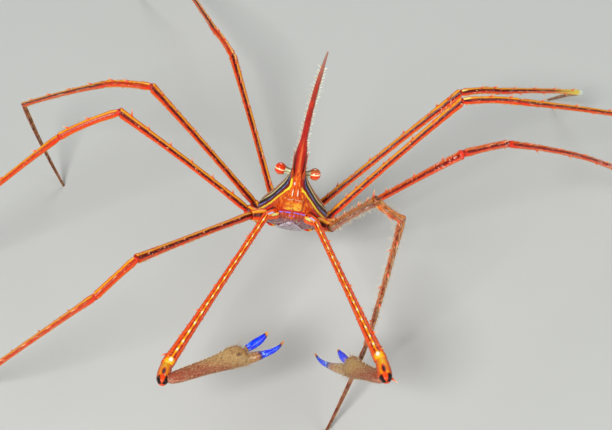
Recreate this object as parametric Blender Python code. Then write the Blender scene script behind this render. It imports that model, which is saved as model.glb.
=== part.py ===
"""A yellowline arrow crab, life size, standing on the tips of its eight walking legs.

Blender units are metres and +Z is up. The crab faces -Y, so its left side lies towards +X. Its
body stands almost upright with the long rostrum pointing up. Both chelipeds are held out in
front, with the claws folded back towards the mouth. The shapes are worked out in millimetres,
and each finished piece is scaled to metres when its object is made.
"""

import math
import random

import bmesh
import bpy
from mathutils import Euler, Matrix, Vector

MM = 0.001
GAP = 0.3

# Stance of the body, in degrees. A pitch of 90 would point the rostrum straight up.
BODY_PITCH = 81
BODY_LEAN = 6
BODY_TURN = -6

# The hub is the middle of the thorax. Its place is set so that the origin lies on the floor under
# the middle of the crab's box.
HUB_PLACE = Vector((-0.95, -19.35, 21.0))

# Carapace and thorax together: forward of the hub, half width, top and bottom of each section.
BODY_SECTIONS = (
    (-8.8, 1.9, 3.4, 1.4),
    (-8.0, 3.6, 4.4, 0.6),
    (-6.4, 5.0, 4.9, -0.4),
    (-4.0, 6.0, 5.0, -1.9),
    (-1.5, 6.1, 4.7, -3.2),
    (1.2, 5.2, 4.1, -3.9),
    (3.8, 4.1, 3.4, -4.0),
    (6.3, 3.0, 2.7, -3.4),
    (8.6, 2.1, 2.1, -2.4),
    (10.6, 1.5, 1.6, -1.5),
    (12.4, 1.2, 1.3, -1.0),
    (13.6, 1.1, 1.2, -0.8),
)
BODY_SIDES = 28
BACK_NARROWING = 0.18
BACK_POWER = 2.1
BELLY_POWER = 2.7

# The carapace's lower edge, where the thorax begins: height at the hub and its forward slope.
SHELL_EDGE_HEIGHT = -1.5
SHELL_EDGE_SLOPE = -0.06

# Rostrum: it starts at the front section of the body and bends a little to the crab's left.
ROSTRUM_TIP = 45.5
ROSTRUM_BEND = 1.6
ROSTRUM_SECTIONS = (
    (0.0, 1.1, 1.0),
    (0.08, 0.95, 0.85),
    (0.16, 0.72, 0.68),
    (0.24, 0.57, 0.55),
    (0.4, 0.5, 0.48),
    (0.6, 0.42, 0.42),
    (0.8, 0.34, 0.34),
    (1.0, 0.14, 0.14),
)

# Places on the left half of the body: to the left, forward, up. The right half mirrors them.
EYE_CENTRE = (2.75, 10.5, 1.0)
EYE_RADIUS = 0.97
EYE_STALK_ROOT = (1.0, 10.2, 0.7)
EYE_STALK_RADIUS = 0.42
EYE_BACK_RADIUS = 0.12
ANTENNA_ROOT = (0.95, 11.2, -0.9)
ANTENNA_TIP = (1.15, 19.5, -1.0)
ANTENNA_RADII = ((0.0, 0.42), (0.3, 0.40), (0.36, 0.28), (0.7, 0.25), (1.0, 0.14))
MAXILLIPED_ROOT = (1.0, 4.9, -3.9)
MAXILLIPED_TIP = (0.95, 9.4, -2.3)
MAXILLIPED_SECTIONS = (
    (0.0, 0.5, 0.4),
    (0.15, 0.72, 0.6),
    (0.6, 0.78, 0.62),
    (0.88, 0.6, 0.55),
    (1.0, 0.35, 0.35),
)
LIMB_ROOTS = {
    1: (2.9, 3.2, -3.8),
    2: (4.6, 0.8, -2.9),
    3: (5.1, -2.0, -2.1),
    4: (5.0, -4.8, -1.1),
    5: (3.3, -6.7, 0.6),
}
HIP_ENDS = {
    1: (4.4, 4.5, -5.3),
    2: (7.2, 1.4, -3.8),
    3: (8.2, -1.8, -0.6),
    4: (7.15, -4.6, 2.6),
    5: (3.1, -9.2, 4.7),
}

# Lengths of merus, carpus, propodus and dactyl of each pair of walking legs.
LIMB_LENGTHS = {
    2: (33.0, 8.5, 30.5, 17.0),
    3: (30.0, 11.0, 35.0, 17.5),
    4: (31.0, 11.0, 32.0, 20.0),
    5: (35.0, 10.0, 27.5, 15.0),
}

# Lengths of merus and carpus of the chelipeds, and of the palm of each one.
ARM_LENGTHS = (32.5, 4.0)
PALM_LENGTHS = {"right": 15.1, "left": 12.7}

# Bearing from +X and slope above the floor of merus, carpus and propodus, then the dactyl's bearing.
WALKING_POSE = {
    ("right", 2): ((-125.5, 31), (-140, -18.5), (173, -49), 150),
    ("right", 3): ((173.5, 47), (-168, -19), (-167.5, -39.5), -94),
    ("right", 4): ((170.5, 58), (147.5, -24.5), (142, -40), -35),
    ("right", 5): ((104.5, 10.5), (113, -10), (109, -19.5), 150),
    ("left", 2): ((-70.5, 56), (27.5, -54.5), (-146, -79), -124),
    ("left", 3): ((-10.5, 47), (37, -22.5), (31, -38.5), 53),
    ("left", 4): ((22, 39), (13.5, -14), (16, -24.5), -120),
    ("left", 5): ((26.5, 30), (31, -25), (36.5, -31.5), 114),
}
CHELIPED_POSE = {
    "right": ((-119, -7), (-94, 19), (26, -7)),
    "left": ((-72, 6), (-82, 12), (126, -40)),
}

# Thickness along each leg segment: fraction of its length and radius.
HIP_RADII = ((0.0, 1.15), (0.45, 1.12), (0.8, 0.86), (1.0, 0.88))
MERUS_RADII = ((0.0, 0.70), (0.06, 0.72), (0.2, 0.62), (0.65, 0.62), (0.92, 0.74), (1.0, 0.80))
CARPUS_RADII = ((0.0, 0.60), (0.2, 0.66), (0.8, 0.70), (1.0, 0.74))
PROPODUS_RADII = ((0.0, 0.58), (0.06, 0.60), (0.2, 0.53), (0.8, 0.46), (0.95, 0.52), (1.0, 0.50))
DACTYL_RADII = ((0.0, 0.42), (0.1, 0.45), (0.4, 0.38), (0.8, 0.29), (1.0, 0.23))
DACTYL_BOW = 0.5

# How far the middle of a leg segment stands above the line between its joints. Only one is bent.
PROPODUS_BOW = {("left", 3): 1.3}
LEG_SIDES = 8

# The same for the chelipeds, whose merus thickens towards the elbow.
CLAW_HIP_RADII = ((0.0, 1.0), (0.5, 0.88), (0.85, 0.72), (1.0, 0.70))
CLAW_MERUS_RADII = (
    (0.0, 0.62),
    (0.1, 0.60),
    (0.45, 0.66),
    (0.75, 0.80),
    (0.85, 0.90),
    (0.96, 1.06),
    (1.0, 1.06),
)
CLAW_CARPUS_RADII = ((0.0, 0.95), (0.3, 1.15), (0.65, 1.15), (0.9, 0.8), (1.0, 0.45))
PALM_SECTIONS = (
    (0.0, 0.8, 0.75),
    (0.12, 1.0, 0.9),
    (0.5, 1.2, 1.05),
    (0.8, 1.65, 1.3),
    (0.9, 1.6, 1.2),
    (0.97, 1.25, 1.0),
    (1.0, 1.0, 0.85),
)
CLAW_SIDES = 10
PALM_START = 0.9

# Fingers lie in the plane of the palm's width, the movable one on the side nearer the body.
CLAW_OPENING_SIDE = Vector((0.0, 0.77, 0.64))
FINGER_SPREAD = 0.85
FIXED_FINGER_TILT = 0.5
MOVABLE_FINGER_START = -0.4
MOVABLE_FINGER_HOOK = 0.7
FIXED_FINGER_RADII = ((0.0, 0.85), (0.2, 0.86), (0.5, 0.7), (0.75, 0.45), (1.0, 0.12))
MOVABLE_FINGER_RADII = ((0.0, 0.6), (0.3, 0.56), (0.7, 0.40), (1.0, 0.14))

# The two claws differ: start of the fixed finger from the wrist, its length and hook, then the
# length and tilt of the movable finger.
FINGERS = {
    "right": (12.8, 8.8, 1.0, 4.9, 15),
    "left": (10.9, 13.4, 1.25, 4.1, 16),
}

# Spines: length, thickness at the root and at the tip, depth of the root, and lean towards the tip.
SPINE_LENGTH = 0.95
SPINE_RADIUS = 0.25
SPINE_TIP_RADIUS = 0.05
SPINE_SIDES = 4
SPINE_DEPTH = 0.35
SPINE_LEAN = 38
SPINE_SPREAD = 7
SPINE_SEED = 11

# Rows of spines: angle round the segment, where 90 is its upper side, first and last place along it
# as fractions of its length, how many there are, and their size against SPINE_LENGTH.
MERUS_SPINES = ((92, 0.13, 0.80, 5, 1.0), (28, 0.20, 0.86, 4, 0.85), (90, 0.93, 0.93, 1, 1.5))
CARPUS_SPINES = ((90, 0.45, 0.45, 1, 0.9), (90, 0.80, 0.80, 1, 1.1))
PROPODUS_SPINES = ((90, 0.14, 0.86, 4, 0.8), (205, 0.22, 0.78, 3, 0.7))
CLAW_MERUS_SPINES = ((70, 0.15, 0.82, 5, 0.75), (150, 0.22, 0.88, 5, 0.75), (90, 0.94, 0.94, 1, 1.2))
ROSTRUM_SPINES = ((0, 0.09, 0.84, 12, 0.85), (180, 0.12, 0.87, 12, 0.85))
ROSTRUM_SPINE_LEAN = 50

# Abdomen, folded forward under the thorax: forward of the hub and half width.
ABDOMEN_SECTIONS = ((-7.4, 0.9), (-5.6, 2.0), (-3.4, 2.4), (-1.4, 2.1), (0.4, 1.3), (1.4, 0.5))
ABDOMEN_THICKNESS = 0.5
ABDOMEN_INSET = 0.1

SIDES = {"left": 1, "right": -1}


def clear_scene():
    """Remove whatever the scene holds before the crab is built."""
    for obj in list(bpy.data.objects):
        bpy.data.objects.remove(obj, do_unlink=True)


def shell_material(name, colour, roughness):
    """A Principled material for one kind of shell."""
    material = bpy.data.materials.new(name)
    material.use_nodes = True
    shader = material.node_tree.nodes["Principled BSDF"]
    shader.inputs["Base Color"].default_value = (*colour, 1.0)
    shader.inputs["Roughness"].default_value = roughness
    shader.inputs["Metallic"].default_value = 0.0
    return material


def body_frame():
    """Place and turn of the body: local +X is its left, -Y forward and +Z its back."""
    turn = Euler((math.radians(-BODY_PITCH), math.radians(BODY_LEAN), math.radians(BODY_TURN)), "XYZ")
    return Matrix.Translation(HUB_PLACE) @ turn.to_matrix().to_4x4()


def on_body(place, side=1):
    """World point of a place given as left, forward and up on the body."""
    left, forward, up = place
    return body_frame() @ Vector((side * left, -forward, up))


def heading(bearing, slope):
    """Unit vector at a bearing from +X and a slope above the floor, in degrees."""
    flat = math.cos(math.radians(slope))
    return Vector((
        flat * math.cos(math.radians(bearing)),
        flat * math.sin(math.radians(bearing)),
        math.sin(math.radians(slope)),
    ))


def frame_along(start, direction, side_hint):
    """Matrix at start whose +Z runs along direction and whose +X lies nearest to side_hint."""
    along = direction.normalized()
    across = (side_hint - along * side_hint.dot(along)).normalized()
    third = along.cross(across)
    turn = Matrix((across, third, along)).transposed().to_4x4()
    return Matrix.Translation(start) @ turn


def rings_to_shell(rings):
    """Closed bmesh through a row of rings, each a list of points in the same order."""
    bm = bmesh.new()
    loops = [[bm.verts.new(point) for point in ring] for ring in rings]
    count = len(loops[0])
    for near, far in zip(loops, loops[1:]):
        for i in range(count):
            j = (i + 1) % count
            bm.faces.new((near[i], near[j], far[j], far[i]))
    bm.faces.new(list(reversed(loops[0])))
    bm.faces.new(loops[-1])
    bmesh.ops.recalc_face_normals(bm, faces=bm.faces)
    return bm


def tube(frame, length, sections, sides, overrun=(0.0, 0.0), bow=0.0, hook=0.0):
    """Tapered tube along a frame's +Z. Sections give a fraction, a half width and a half height.

    The overrun lengthens both ends past the joint centres. The bow lifts the middle towards the
    frame's +Y, and the hook carries the tip towards its +X.
    """
    rings = []
    stations = [(0.0 - overrun[0] / length, *sections[0][1:])] if overrun[0] else []
    stations += list(sections)
    stations += [(1.0 + overrun[1] / length, *sections[-1][1:])] if overrun[1] else []
    for fraction, half_width, *rest in stations:
        half_height = rest[0] if rest else half_width
        inside = min(max(fraction, 0.0), 1.0)
        shift_x = hook * inside**2
        shift_y = bow * 4.0 * inside * (1.0 - inside)
        ring = []
        for i in range(sides):
            angle = 2.0 * math.pi * (i + 0.5) / sides
            local = Vector((
                shift_x + half_width * math.cos(angle),
                shift_y + half_height * math.sin(angle),
                fraction * length,
            ))
            ring.append(frame @ local)
        rings.append(ring)
    return rings_to_shell(rings)


def section_at(sections, fraction):
    """Half width and half height of a tube's sections at a fraction of its length."""
    for near, far in zip(sections, sections[1:]):
        if near[0] <= fraction <= far[0]:
            share = (fraction - near[0]) / (far[0] - near[0])
            return (
                near[1] + share * (far[1] - near[1]),
                near[-1] + share * (far[-1] - near[-1]),
            )
    raise ValueError(f"no section at {fraction}")


def spine_row(frame, length, sections, rows, lean=SPINE_LEAN, hook=0.0, bow=0.0):
    """Small leaning cones in rows along a tube's sides, as closed bmeshes."""
    chance = random.Random(SPINE_SEED)
    spines = []
    for angle, first, last, count, size in rows:
        for i in range(count):
            fraction = first + (last - first) * i / max(count - 1, 1)
            turn = math.radians(angle + chance.uniform(-SPINE_SPREAD, SPINE_SPREAD))
            tilt = math.radians(lean + chance.uniform(-SPINE_SPREAD, SPINE_SPREAD))
            half_width, half_height = section_at(sections, fraction)
            outward = Vector((math.cos(turn), math.sin(turn), 0.0))
            foot = Vector((
                half_width * outward.x + hook * fraction**2,
                half_height * outward.y + bow * 4.0 * fraction * (1.0 - fraction),
                fraction * length,
            ))
            axis = outward * math.cos(tilt) + Vector((0, 0, math.sin(tilt)))
            reach = SPINE_LENGTH * size * chance.uniform(0.85, 1.15)
            start = foot - outward * SPINE_DEPTH * min(1.0, half_height / 0.6)
            across = outward.cross(axis)
            spine_frame = frame @ frame_along(start, axis, across)
            shape = ((0.0, SPINE_RADIUS), (1.0, SPINE_TIP_RADIUS))
            spines.append(tube(spine_frame, reach + SPINE_DEPTH, shape, SPINE_SIDES))
    return spines


def cut_away(bm, point, normal):
    """Remove what lies beyond a plane on its normal's side, and close the cut."""
    geometry = bm.verts[:] + bm.edges[:] + bm.faces[:]
    cut = bmesh.ops.bisect_plane(
        bm, geom=geometry, dist=1e-5, plane_co=point, plane_no=normal, clear_outer=True
    )
    edges = [item for item in cut["geom_cut"] if isinstance(item, bmesh.types.BMEdge)]
    bmesh.ops.contextual_create(bm, geom=edges)
    bmesh.ops.recalc_face_normals(bm, faces=bm.faces)


def keep_largest_shell(bm):
    """Delete every closed surface but the largest one."""
    unseen = set(bm.verts)
    shells = []
    while unseen:
        stack = [unseen.pop()]
        shell = set(stack)
        while stack:
            for edge in stack.pop().link_edges:
                for vert in edge.verts:
                    if vert in unseen:
                        unseen.remove(vert)
                        shell.add(vert)
                        stack.append(vert)
        shells.append(shell)
    shells.sort(key=shell_size)
    for shell in shells[:-1]:
        bmesh.ops.delete(bm, geom=list(shell), context="VERTS")


def shell_size(verts):
    """Diagonal of the box round some vertices."""
    low = Vector([min(v.co[i] for v in verts) for i in range(3)])
    high = Vector([max(v.co[i] for v in verts) for i in range(3)])
    return (high - low).length


def temporary_object(name, bm):
    """Object from a bmesh, which is freed."""
    mesh = bpy.data.meshes.new(name)
    bm.to_mesh(mesh)
    bm.free()
    obj = bpy.data.objects.new(name, mesh)
    bpy.context.scene.collection.objects.link(obj)
    return obj


def combine(base, others, operation, solver="EXACT"):
    """Union or difference of a bmesh with a collection of closed bmeshes, as a new bmesh."""
    group = bpy.data.collections.new("pieces")
    bpy.context.scene.collection.children.link(group)
    target = temporary_object("target", base)
    for number, other in enumerate(others):
        piece = temporary_object(f"piece_{number}", other)
        bpy.context.scene.collection.objects.unlink(piece)
        group.objects.link(piece)
    modifier = target.modifiers.new("join", "BOOLEAN")
    modifier.operation = operation
    modifier.operand_type = "COLLECTION"
    modifier.collection = group
    modifier.solver = solver
    evaluated = target.evaluated_get(bpy.context.evaluated_depsgraph_get())
    result = bmesh.new()
    result.from_mesh(evaluated.to_mesh())
    evaluated.to_mesh_clear()
    for obj in [target, *group.objects]:
        bpy.data.objects.remove(obj, do_unlink=True)
    bpy.data.collections.remove(group)
    keep_largest_shell(result)
    return result


def finish_node(name, bm, material):
    """Make the named object in metres, shaded smooth but for its sharp edges."""
    bmesh.ops.remove_doubles(bm, verts=bm.verts, dist=0.002)
    bmesh.ops.triangulate(bm, faces=bm.faces)
    bmesh.ops.scale(bm, vec=(MM, MM, MM), verts=bm.verts)
    bmesh.ops.recalc_face_normals(bm, faces=bm.faces)
    obj = temporary_object(name, bm)
    obj.data.shade_smooth()
    obj.data.set_sharp_from_angle(angle=math.radians(40))
    obj.data.materials.append(material)
    return obj


def body_shell(margin=0.0):
    """Carapace and thorax as one closed shell in world millimetres, grown by a margin."""
    frame = body_frame()
    rings = []
    for forward, half_width, top, bottom in BODY_SECTIONS:
        middle = (top + bottom) / 2
        half_height = (top - bottom) / 2
        ring = []
        for i in range(BODY_SIDES):
            angle = 2.0 * math.pi * i / BODY_SIDES
            across, up = math.cos(angle), math.sin(angle)
            power = BACK_POWER if up > 0 else BELLY_POWER
            x = math.copysign(abs(across) ** (2 / power), across) * half_width
            z = math.copysign(abs(up) ** (2 / power), up)
            x *= 1.0 - BACK_NARROWING * max(0.0, z)
            ring.append(frame @ Vector((x, -forward, middle + half_height * z)))
        rings.append(ring)
    bm = rings_to_shell(rings)
    if margin:
        bm.normal_update()
        for vert in bm.verts:
            vert.co += vert.normal * margin
    return bm


def clear_of_body(bm):
    """Cut a piece back to leave the gap between it and the body that it grows from."""
    return combine(bm, [body_shell(GAP)], "DIFFERENCE")


def build_body(materials):
    """Carapace and thorax, parted along the shell's lower edge."""
    frame = body_frame()
    edge = frame @ Vector((0, 0, SHELL_EDGE_HEIGHT))
    upward = (frame.to_3x3() @ Vector((0, SHELL_EDGE_SLOPE, 1))).normalized()
    carapace = body_shell()
    cut_away(carapace, edge + upward * GAP / 2, -upward)
    finish_node("carapace", carapace, materials["shell"])
    thorax = body_shell()
    cut_away(thorax, edge - upward * GAP / 2, upward)
    finish_node("thorax", thorax, materials["belly"])


def build_rostrum(materials):
    """The long spear between the eyes, from the front of the carapace to its tip."""
    forward, _, top, bottom = BODY_SECTIONS[-1]
    start = on_body((0, forward + GAP, (top + bottom) / 2))
    tip = on_body((0, ROSTRUM_TIP, (top + bottom) / 2))
    frame = frame_along(start, tip - start, on_body((1, 0, 0)) - on_body((0, 0, 0)))
    length = (tip - start).length
    bm = tube(frame, length, ROSTRUM_SECTIONS, 10, hook=ROSTRUM_BEND)
    spines = spine_row(
        frame, length, ROSTRUM_SECTIONS, ROSTRUM_SPINES, ROSTRUM_SPINE_LEAN, ROSTRUM_BEND
    )
    bm = combine(bm, spines, "UNION")
    finish_node("rostrum", bm, materials["rostrum"])


def build_eye(side_name, materials):
    """Short stalk and round eye, reaching out beside the rostrum's base."""
    side = SIDES[side_name]
    root = on_body(EYE_STALK_ROOT, side)
    centre = on_body(EYE_CENTRE, side)
    reach = (centre - root).length
    length = reach + EYE_RADIUS
    sections = [(0.0, EYE_STALK_RADIUS)]
    first = math.asin(EYE_STALK_RADIUS / EYE_RADIUS)
    for step in range(8):
        angle = first + (math.pi - first) * step / 7
        along = reach - EYE_RADIUS * math.cos(angle)
        sections.append((along / length, max(EYE_RADIUS * math.sin(angle), EYE_BACK_RADIUS)))
    frame = frame_along(root, centre - root, Vector((0, 0, 1)))
    bm = clear_of_body(tube(frame, length, sections, 14))
    finish_node(f"eye_{side_name}", bm, materials["eye"])


def build_antenna(side_name, materials):
    """Thick basal piece and thin feeler under the rostrum."""
    side = SIDES[side_name]
    root = on_body(ANTENNA_ROOT, side)
    tip = on_body(ANTENNA_TIP, side)
    frame = frame_along(root, tip - root, Vector((1, 0, 0)))
    bm = clear_of_body(tube(frame, (tip - root).length, ANTENNA_RADII, 8))
    finish_node(f"antenna_{side_name}", bm, materials["shell"])


def build_maxilliped(side_name, materials):
    """One of the two plates that close the mouth."""
    side = SIDES[side_name]
    root = on_body(MAXILLIPED_ROOT, side)
    tip = on_body(MAXILLIPED_TIP, side)
    across = on_body((1, 0, 0)) - on_body((0, 0, 0))
    frame = frame_along(root, tip - root, across)
    bm = clear_of_body(tube(frame, (tip - root).length, MAXILLIPED_SECTIONS, 10))
    finish_node(f"maxilliped_{side_name}", bm, materials["belly"])


def belly_height(forward):
    """Height of the body's underside at a place forward of the hub."""
    for near, far in zip(BODY_SECTIONS, BODY_SECTIONS[1:]):
        if near[0] <= forward <= far[0]:
            share = (forward - near[0]) / (far[0] - near[0])
            return near[3] + share * (far[3] - near[3])
    raise ValueError(f"no section at {forward}")


def build_abdomen(materials):
    """The tail, a rounded plate folded forward against the thorax."""
    frame = body_frame()
    rings = []
    for forward, half_width in ABDOMEN_SECTIONS:
        ring = []
        for i in range(16):
            angle = 2.0 * math.pi * (i + 0.5) / 16
            x = half_width * math.cos(angle)
            z = belly_height(forward) - ABDOMEN_INSET + ABDOMEN_THICKNESS * math.sin(angle)
            ring.append(frame @ Vector((x, -forward, z)))
        rings.append(ring)
    finish_node("abdomen", clear_of_body(rings_to_shell(rings)), materials["belly"])


def mitre(before, after):
    """Normal of the plane that halves the bend between two directions."""
    return (before + after).normalized()


def limb_piece(start, end, directions, hinge, radii, sides, bow=0.0, foot=False, spines=()):
    """One tube between two joints, mitred against its neighbours with half the gap at each end."""
    before, along, after = directions
    length = (end - start).length
    widest = max(section[1] for section in radii)
    overrun = [0.0, 0.0]
    if before is not None:
        overrun[0] = 1.7 * widest
    if after is not None:
        overrun[1] = 1.7 * widest
    if foot:
        overrun[1] = 1.0
    frame = frame_along(start, along, hinge)
    bm = tube(frame, length, radii, sides, overrun, bow)
    if before is not None:
        normal = mitre(before, along)
        cut_away(bm, start + normal * GAP / 2, -normal)
    if after is not None:
        normal = mitre(along, after)
        cut_away(bm, end - normal * GAP / 2, normal)
    if foot:
        cut_away(bm, Vector((0, 0, 0)), Vector((0, 0, -1)))
    if spines:
        bm = combine(bm, spine_row(frame, length, radii, spines, bow=bow), "UNION")
    return bm


def build_hip(prefix, side, pair, merus_direction, radii, sides, material):
    """The short segments between the thorax and the merus, as one piece."""
    root = on_body(LIMB_ROOTS[pair], side)
    end = on_body(HIP_ENDS[pair], side)
    along = (end - root).normalized()
    hinge = along.cross(merus_direction)
    bm = limb_piece(root, end, (None, along, merus_direction), hinge, radii, sides)
    finish_node(f"{prefix}_hip", clear_of_body(bm), material)
    return end, along


def foot_heading(joint, bearing, length):
    """Direction of a dactyl whose tip comes down on the floor."""
    slope = -math.degrees(math.asin(joint.z / length))
    return heading(bearing, slope)


def build_walking_leg(side_name, pair, materials):
    """Hip, merus, carpus, propodus and dactyl of one walking leg."""
    prefix = f"leg_{side_name}_{pair - 1}"
    pose = WALKING_POSE[side_name, pair]
    lengths = LIMB_LENGTHS[pair]
    directions = [heading(*angles) for angles in pose[:3]]
    joint, hip_direction = build_hip(
        prefix, SIDES[side_name], pair, directions[0], HIP_RADII, LEG_SIDES, materials["leg"]
    )
    joints = [joint]
    for direction, length in zip(directions, lengths):
        joints.append(joints[-1] + direction * length)
    directions.append(foot_heading(joints[-1], pose[3], lengths[3]))
    joints.append(joints[-1] + directions[-1] * lengths[3])
    hinge = directions[0].cross(directions[2])
    names = ("merus", "carpus", "propodus", "dactyl")
    radii = (MERUS_RADII, CARPUS_RADII, PROPODUS_RADII, DACTYL_RADII)
    spines = (MERUS_SPINES, CARPUS_SPINES, PROPODUS_SPINES, ())
    bows = (0.0, 0.0, PROPODUS_BOW.get((side_name, pair), 0.0), DACTYL_BOW)
    chain = [hip_direction, *directions, None]
    for number, name in enumerate(names):
        foot = name == "dactyl"
        bm = limb_piece(
            joints[number], joints[number + 1], chain[number:number + 3], hinge,
            radii[number], LEG_SIDES, bows[number], foot, spines[number],
        )
        finish_node(f"{prefix}_{name}", bm, materials["leg"])


def build_cheliped(side_name, materials):
    """Hip, merus, carpus, palm with its fixed finger, and movable finger of one cheliped."""
    prefix = f"cheliped_{side_name}"
    directions = [heading(*angles) for angles in CHELIPED_POSE[side_name]]
    shoulder, hip_direction = build_hip(
        prefix, SIDES[side_name], 1, directions[0], CLAW_HIP_RADII, CLAW_SIDES, materials["claw"]
    )
    elbow = shoulder + directions[0] * ARM_LENGTHS[0]
    wrist = elbow + directions[1] * ARM_LENGTHS[1]
    hinge = directions[0].cross(directions[2])
    merus = limb_piece(
        shoulder, elbow, (hip_direction, directions[0], directions[1]), hinge,
        CLAW_MERUS_RADII, CLAW_SIDES, spines=CLAW_MERUS_SPINES,
    )
    finish_node(f"{prefix}_merus", merus, materials["claw"])
    carpus = limb_piece(
        elbow, wrist, (directions[0], directions[1], None), hinge, CLAW_CARPUS_RADII, CLAW_SIDES
    )
    palm, palm_frame = palm_with_fixed_finger(side_name, wrist, directions[2])
    palm = combine(palm, [grown_copy(carpus, GAP)], "DIFFERENCE")
    finger = movable_finger(side_name, palm_frame)
    finger = combine(finger, [grown_copy(palm, GAP)], "DIFFERENCE")
    finish_node(f"{prefix}_carpus", carpus, materials["claw"])
    finish_node(f"{prefix}_palm", palm, materials["palm"])
    finish_node(f"{prefix}_finger", finger, materials["finger"])


def grown_copy(bm, margin):
    """Copy of a bmesh whose surface stands a margin further out."""
    copy = bm.copy()
    copy.normal_update()
    for vert in copy.verts:
        vert.co += vert.normal * margin * vert.calc_shell_factor()
    return copy


def palm_with_fixed_finger(side_name, wrist, direction):
    """The swollen palm and the finger that is one piece with it."""
    frame = frame_along(wrist, direction, CLAW_OPENING_SIDE)
    length = PALM_LENGTHS[side_name]
    palm = tube(frame @ Matrix.Translation((0, 0, PALM_START)), length - PALM_START, PALM_SECTIONS, 12)
    start, finger_length, hook, _, _ = FINGERS[side_name]
    place = finger_frame(frame, start, -FINGER_SPREAD, FIXED_FINGER_TILT)
    finger = tube(place, finger_length, FIXED_FINGER_RADII, 8, hook=hook)
    return combine(palm, [finger], "UNION"), frame


def movable_finger(side_name, palm_frame):
    """The finger that opens against the fixed one."""
    start = PALM_LENGTHS[side_name] + MOVABLE_FINGER_START
    _, _, _, length, tilt = FINGERS[side_name]
    place = finger_frame(palm_frame, start, FINGER_SPREAD, tilt)
    return tube(place, length, MOVABLE_FINGER_RADII, 8, hook=MOVABLE_FINGER_HOOK)


def finger_frame(palm_frame, along, across, tilt):
    """Matrix at a finger's root on the palm, tilted towards the body's side."""
    start = Matrix.Translation((across, 0, along))
    turn = Matrix.Rotation(math.radians(tilt), 4, "Y")
    return palm_frame @ start @ turn


def main():
    """Build every node of the crab."""
    clear_scene()
    materials = {
        "shell": shell_material("carapace_shell", (0.75, 0.22, 0.02), 0.35),
        "belly": shell_material("belly_shell", (0.70, 0.38, 0.16), 0.45),
        "rostrum": shell_material("rostrum_shell", (0.52, 0.02, 0.01), 0.35),
        "leg": shell_material("leg_shell", (0.80, 0.16, 0.01), 0.35),
        "claw": shell_material("cheliped_shell", (0.80, 0.12, 0.01), 0.35),
        "palm": shell_material("palm_shell", (0.38, 0.22, 0.10), 0.5),
        "finger": shell_material("finger_shell", (0.0, 0.04, 0.8), 0.3),
        "eye": shell_material("eye_surface", (0.85, 0.10, 0.01), 0.2),
    }
    build_body(materials)
    build_rostrum(materials)
    build_abdomen(materials)
    for side_name in SIDES:
        build_eye(side_name, materials)
        build_antenna(side_name, materials)
        build_maxilliped(side_name, materials)
        build_cheliped(side_name, materials)
        for pair in (2, 3, 4, 5):
            build_walking_leg(side_name, pair, materials)


main()
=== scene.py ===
"""Dressing of a yellowline arrow crab, a still life-size model that stands on its leg tips.

The sizes and the stance are those of the solids. Shapes are worked out in millimetres and scaled to
metres when a piece is finished. Every shell piece carries two attributes that its finish reads:
"skin", a place on the surface that follows the piece, and "share", from 0 at its root to 1 at its
end.
"""

from __future__ import annotations

import logging
import math
import random
from dataclasses import dataclass, field, replace
from enum import Enum
from functools import partial
from typing import Any, Callable, Iterable, Mapping, Optional, Sequence

import bmesh
import bpy
import numpy as np
from mathutils import Euler, Matrix, Vector

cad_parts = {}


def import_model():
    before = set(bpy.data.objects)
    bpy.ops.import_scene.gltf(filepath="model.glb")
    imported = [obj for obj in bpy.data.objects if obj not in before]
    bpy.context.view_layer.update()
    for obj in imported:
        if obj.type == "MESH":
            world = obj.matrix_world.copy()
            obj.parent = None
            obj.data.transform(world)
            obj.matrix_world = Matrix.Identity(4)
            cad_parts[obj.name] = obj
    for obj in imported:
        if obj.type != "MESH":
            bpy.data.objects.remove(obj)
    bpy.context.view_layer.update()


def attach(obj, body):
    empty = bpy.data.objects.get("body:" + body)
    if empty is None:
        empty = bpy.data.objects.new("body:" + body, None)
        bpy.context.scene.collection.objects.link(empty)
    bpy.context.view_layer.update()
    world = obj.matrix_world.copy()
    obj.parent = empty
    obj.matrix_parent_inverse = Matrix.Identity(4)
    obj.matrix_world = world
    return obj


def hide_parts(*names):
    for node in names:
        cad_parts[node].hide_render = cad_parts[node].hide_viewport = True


LOG = logging.getLogger("arrow_crab")
MM = 0.001
Table = Sequence[tuple[float, ...]]
Skin = tuple[tuple[float, float, float], float]
Place = Callable[[float, float], Vector]
Mark = Callable[[float, float], Skin]
Socket = bpy.types.NodeSocket

# The dark stripe of a leg and the bright stripe of a cheliped lie on the side that faces this way,
# the front and upper side of the crab. The second way is at right angles to it, up the back.
STRIPE_FACES = Vector((0.0, -0.643, 0.766))
STRIPE_RISES = Vector((0.0, 0.766, 0.643))


class Side(Enum):
    """The crab's own left and right. Its left lies towards +X."""

    LEFT = 1
    RIGHT = -1

    @property
    def tag(self) -> str:
        """Name of the side as the nodes have it."""
        return self.name.lower()


# ---------------------------------------------------------------- node trees and finishes


def linear(colour: str) -> tuple[float, float, float, float]:
    """Turn an sRGB hex colour to linear light.

    Args:
        colour: six hex digits after a hash.

    Returns:
        Red, green, blue and an alpha of 1.
    """
    parts = [int(colour[i : i + 2], 16) / 255.0 for i in (1, 3, 5)]
    turned = [c / 12.92 if c <= 0.04045 else ((c + 0.055) / 1.055) ** 2.4 for c in parts]
    return (*turned, 1.0)


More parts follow.
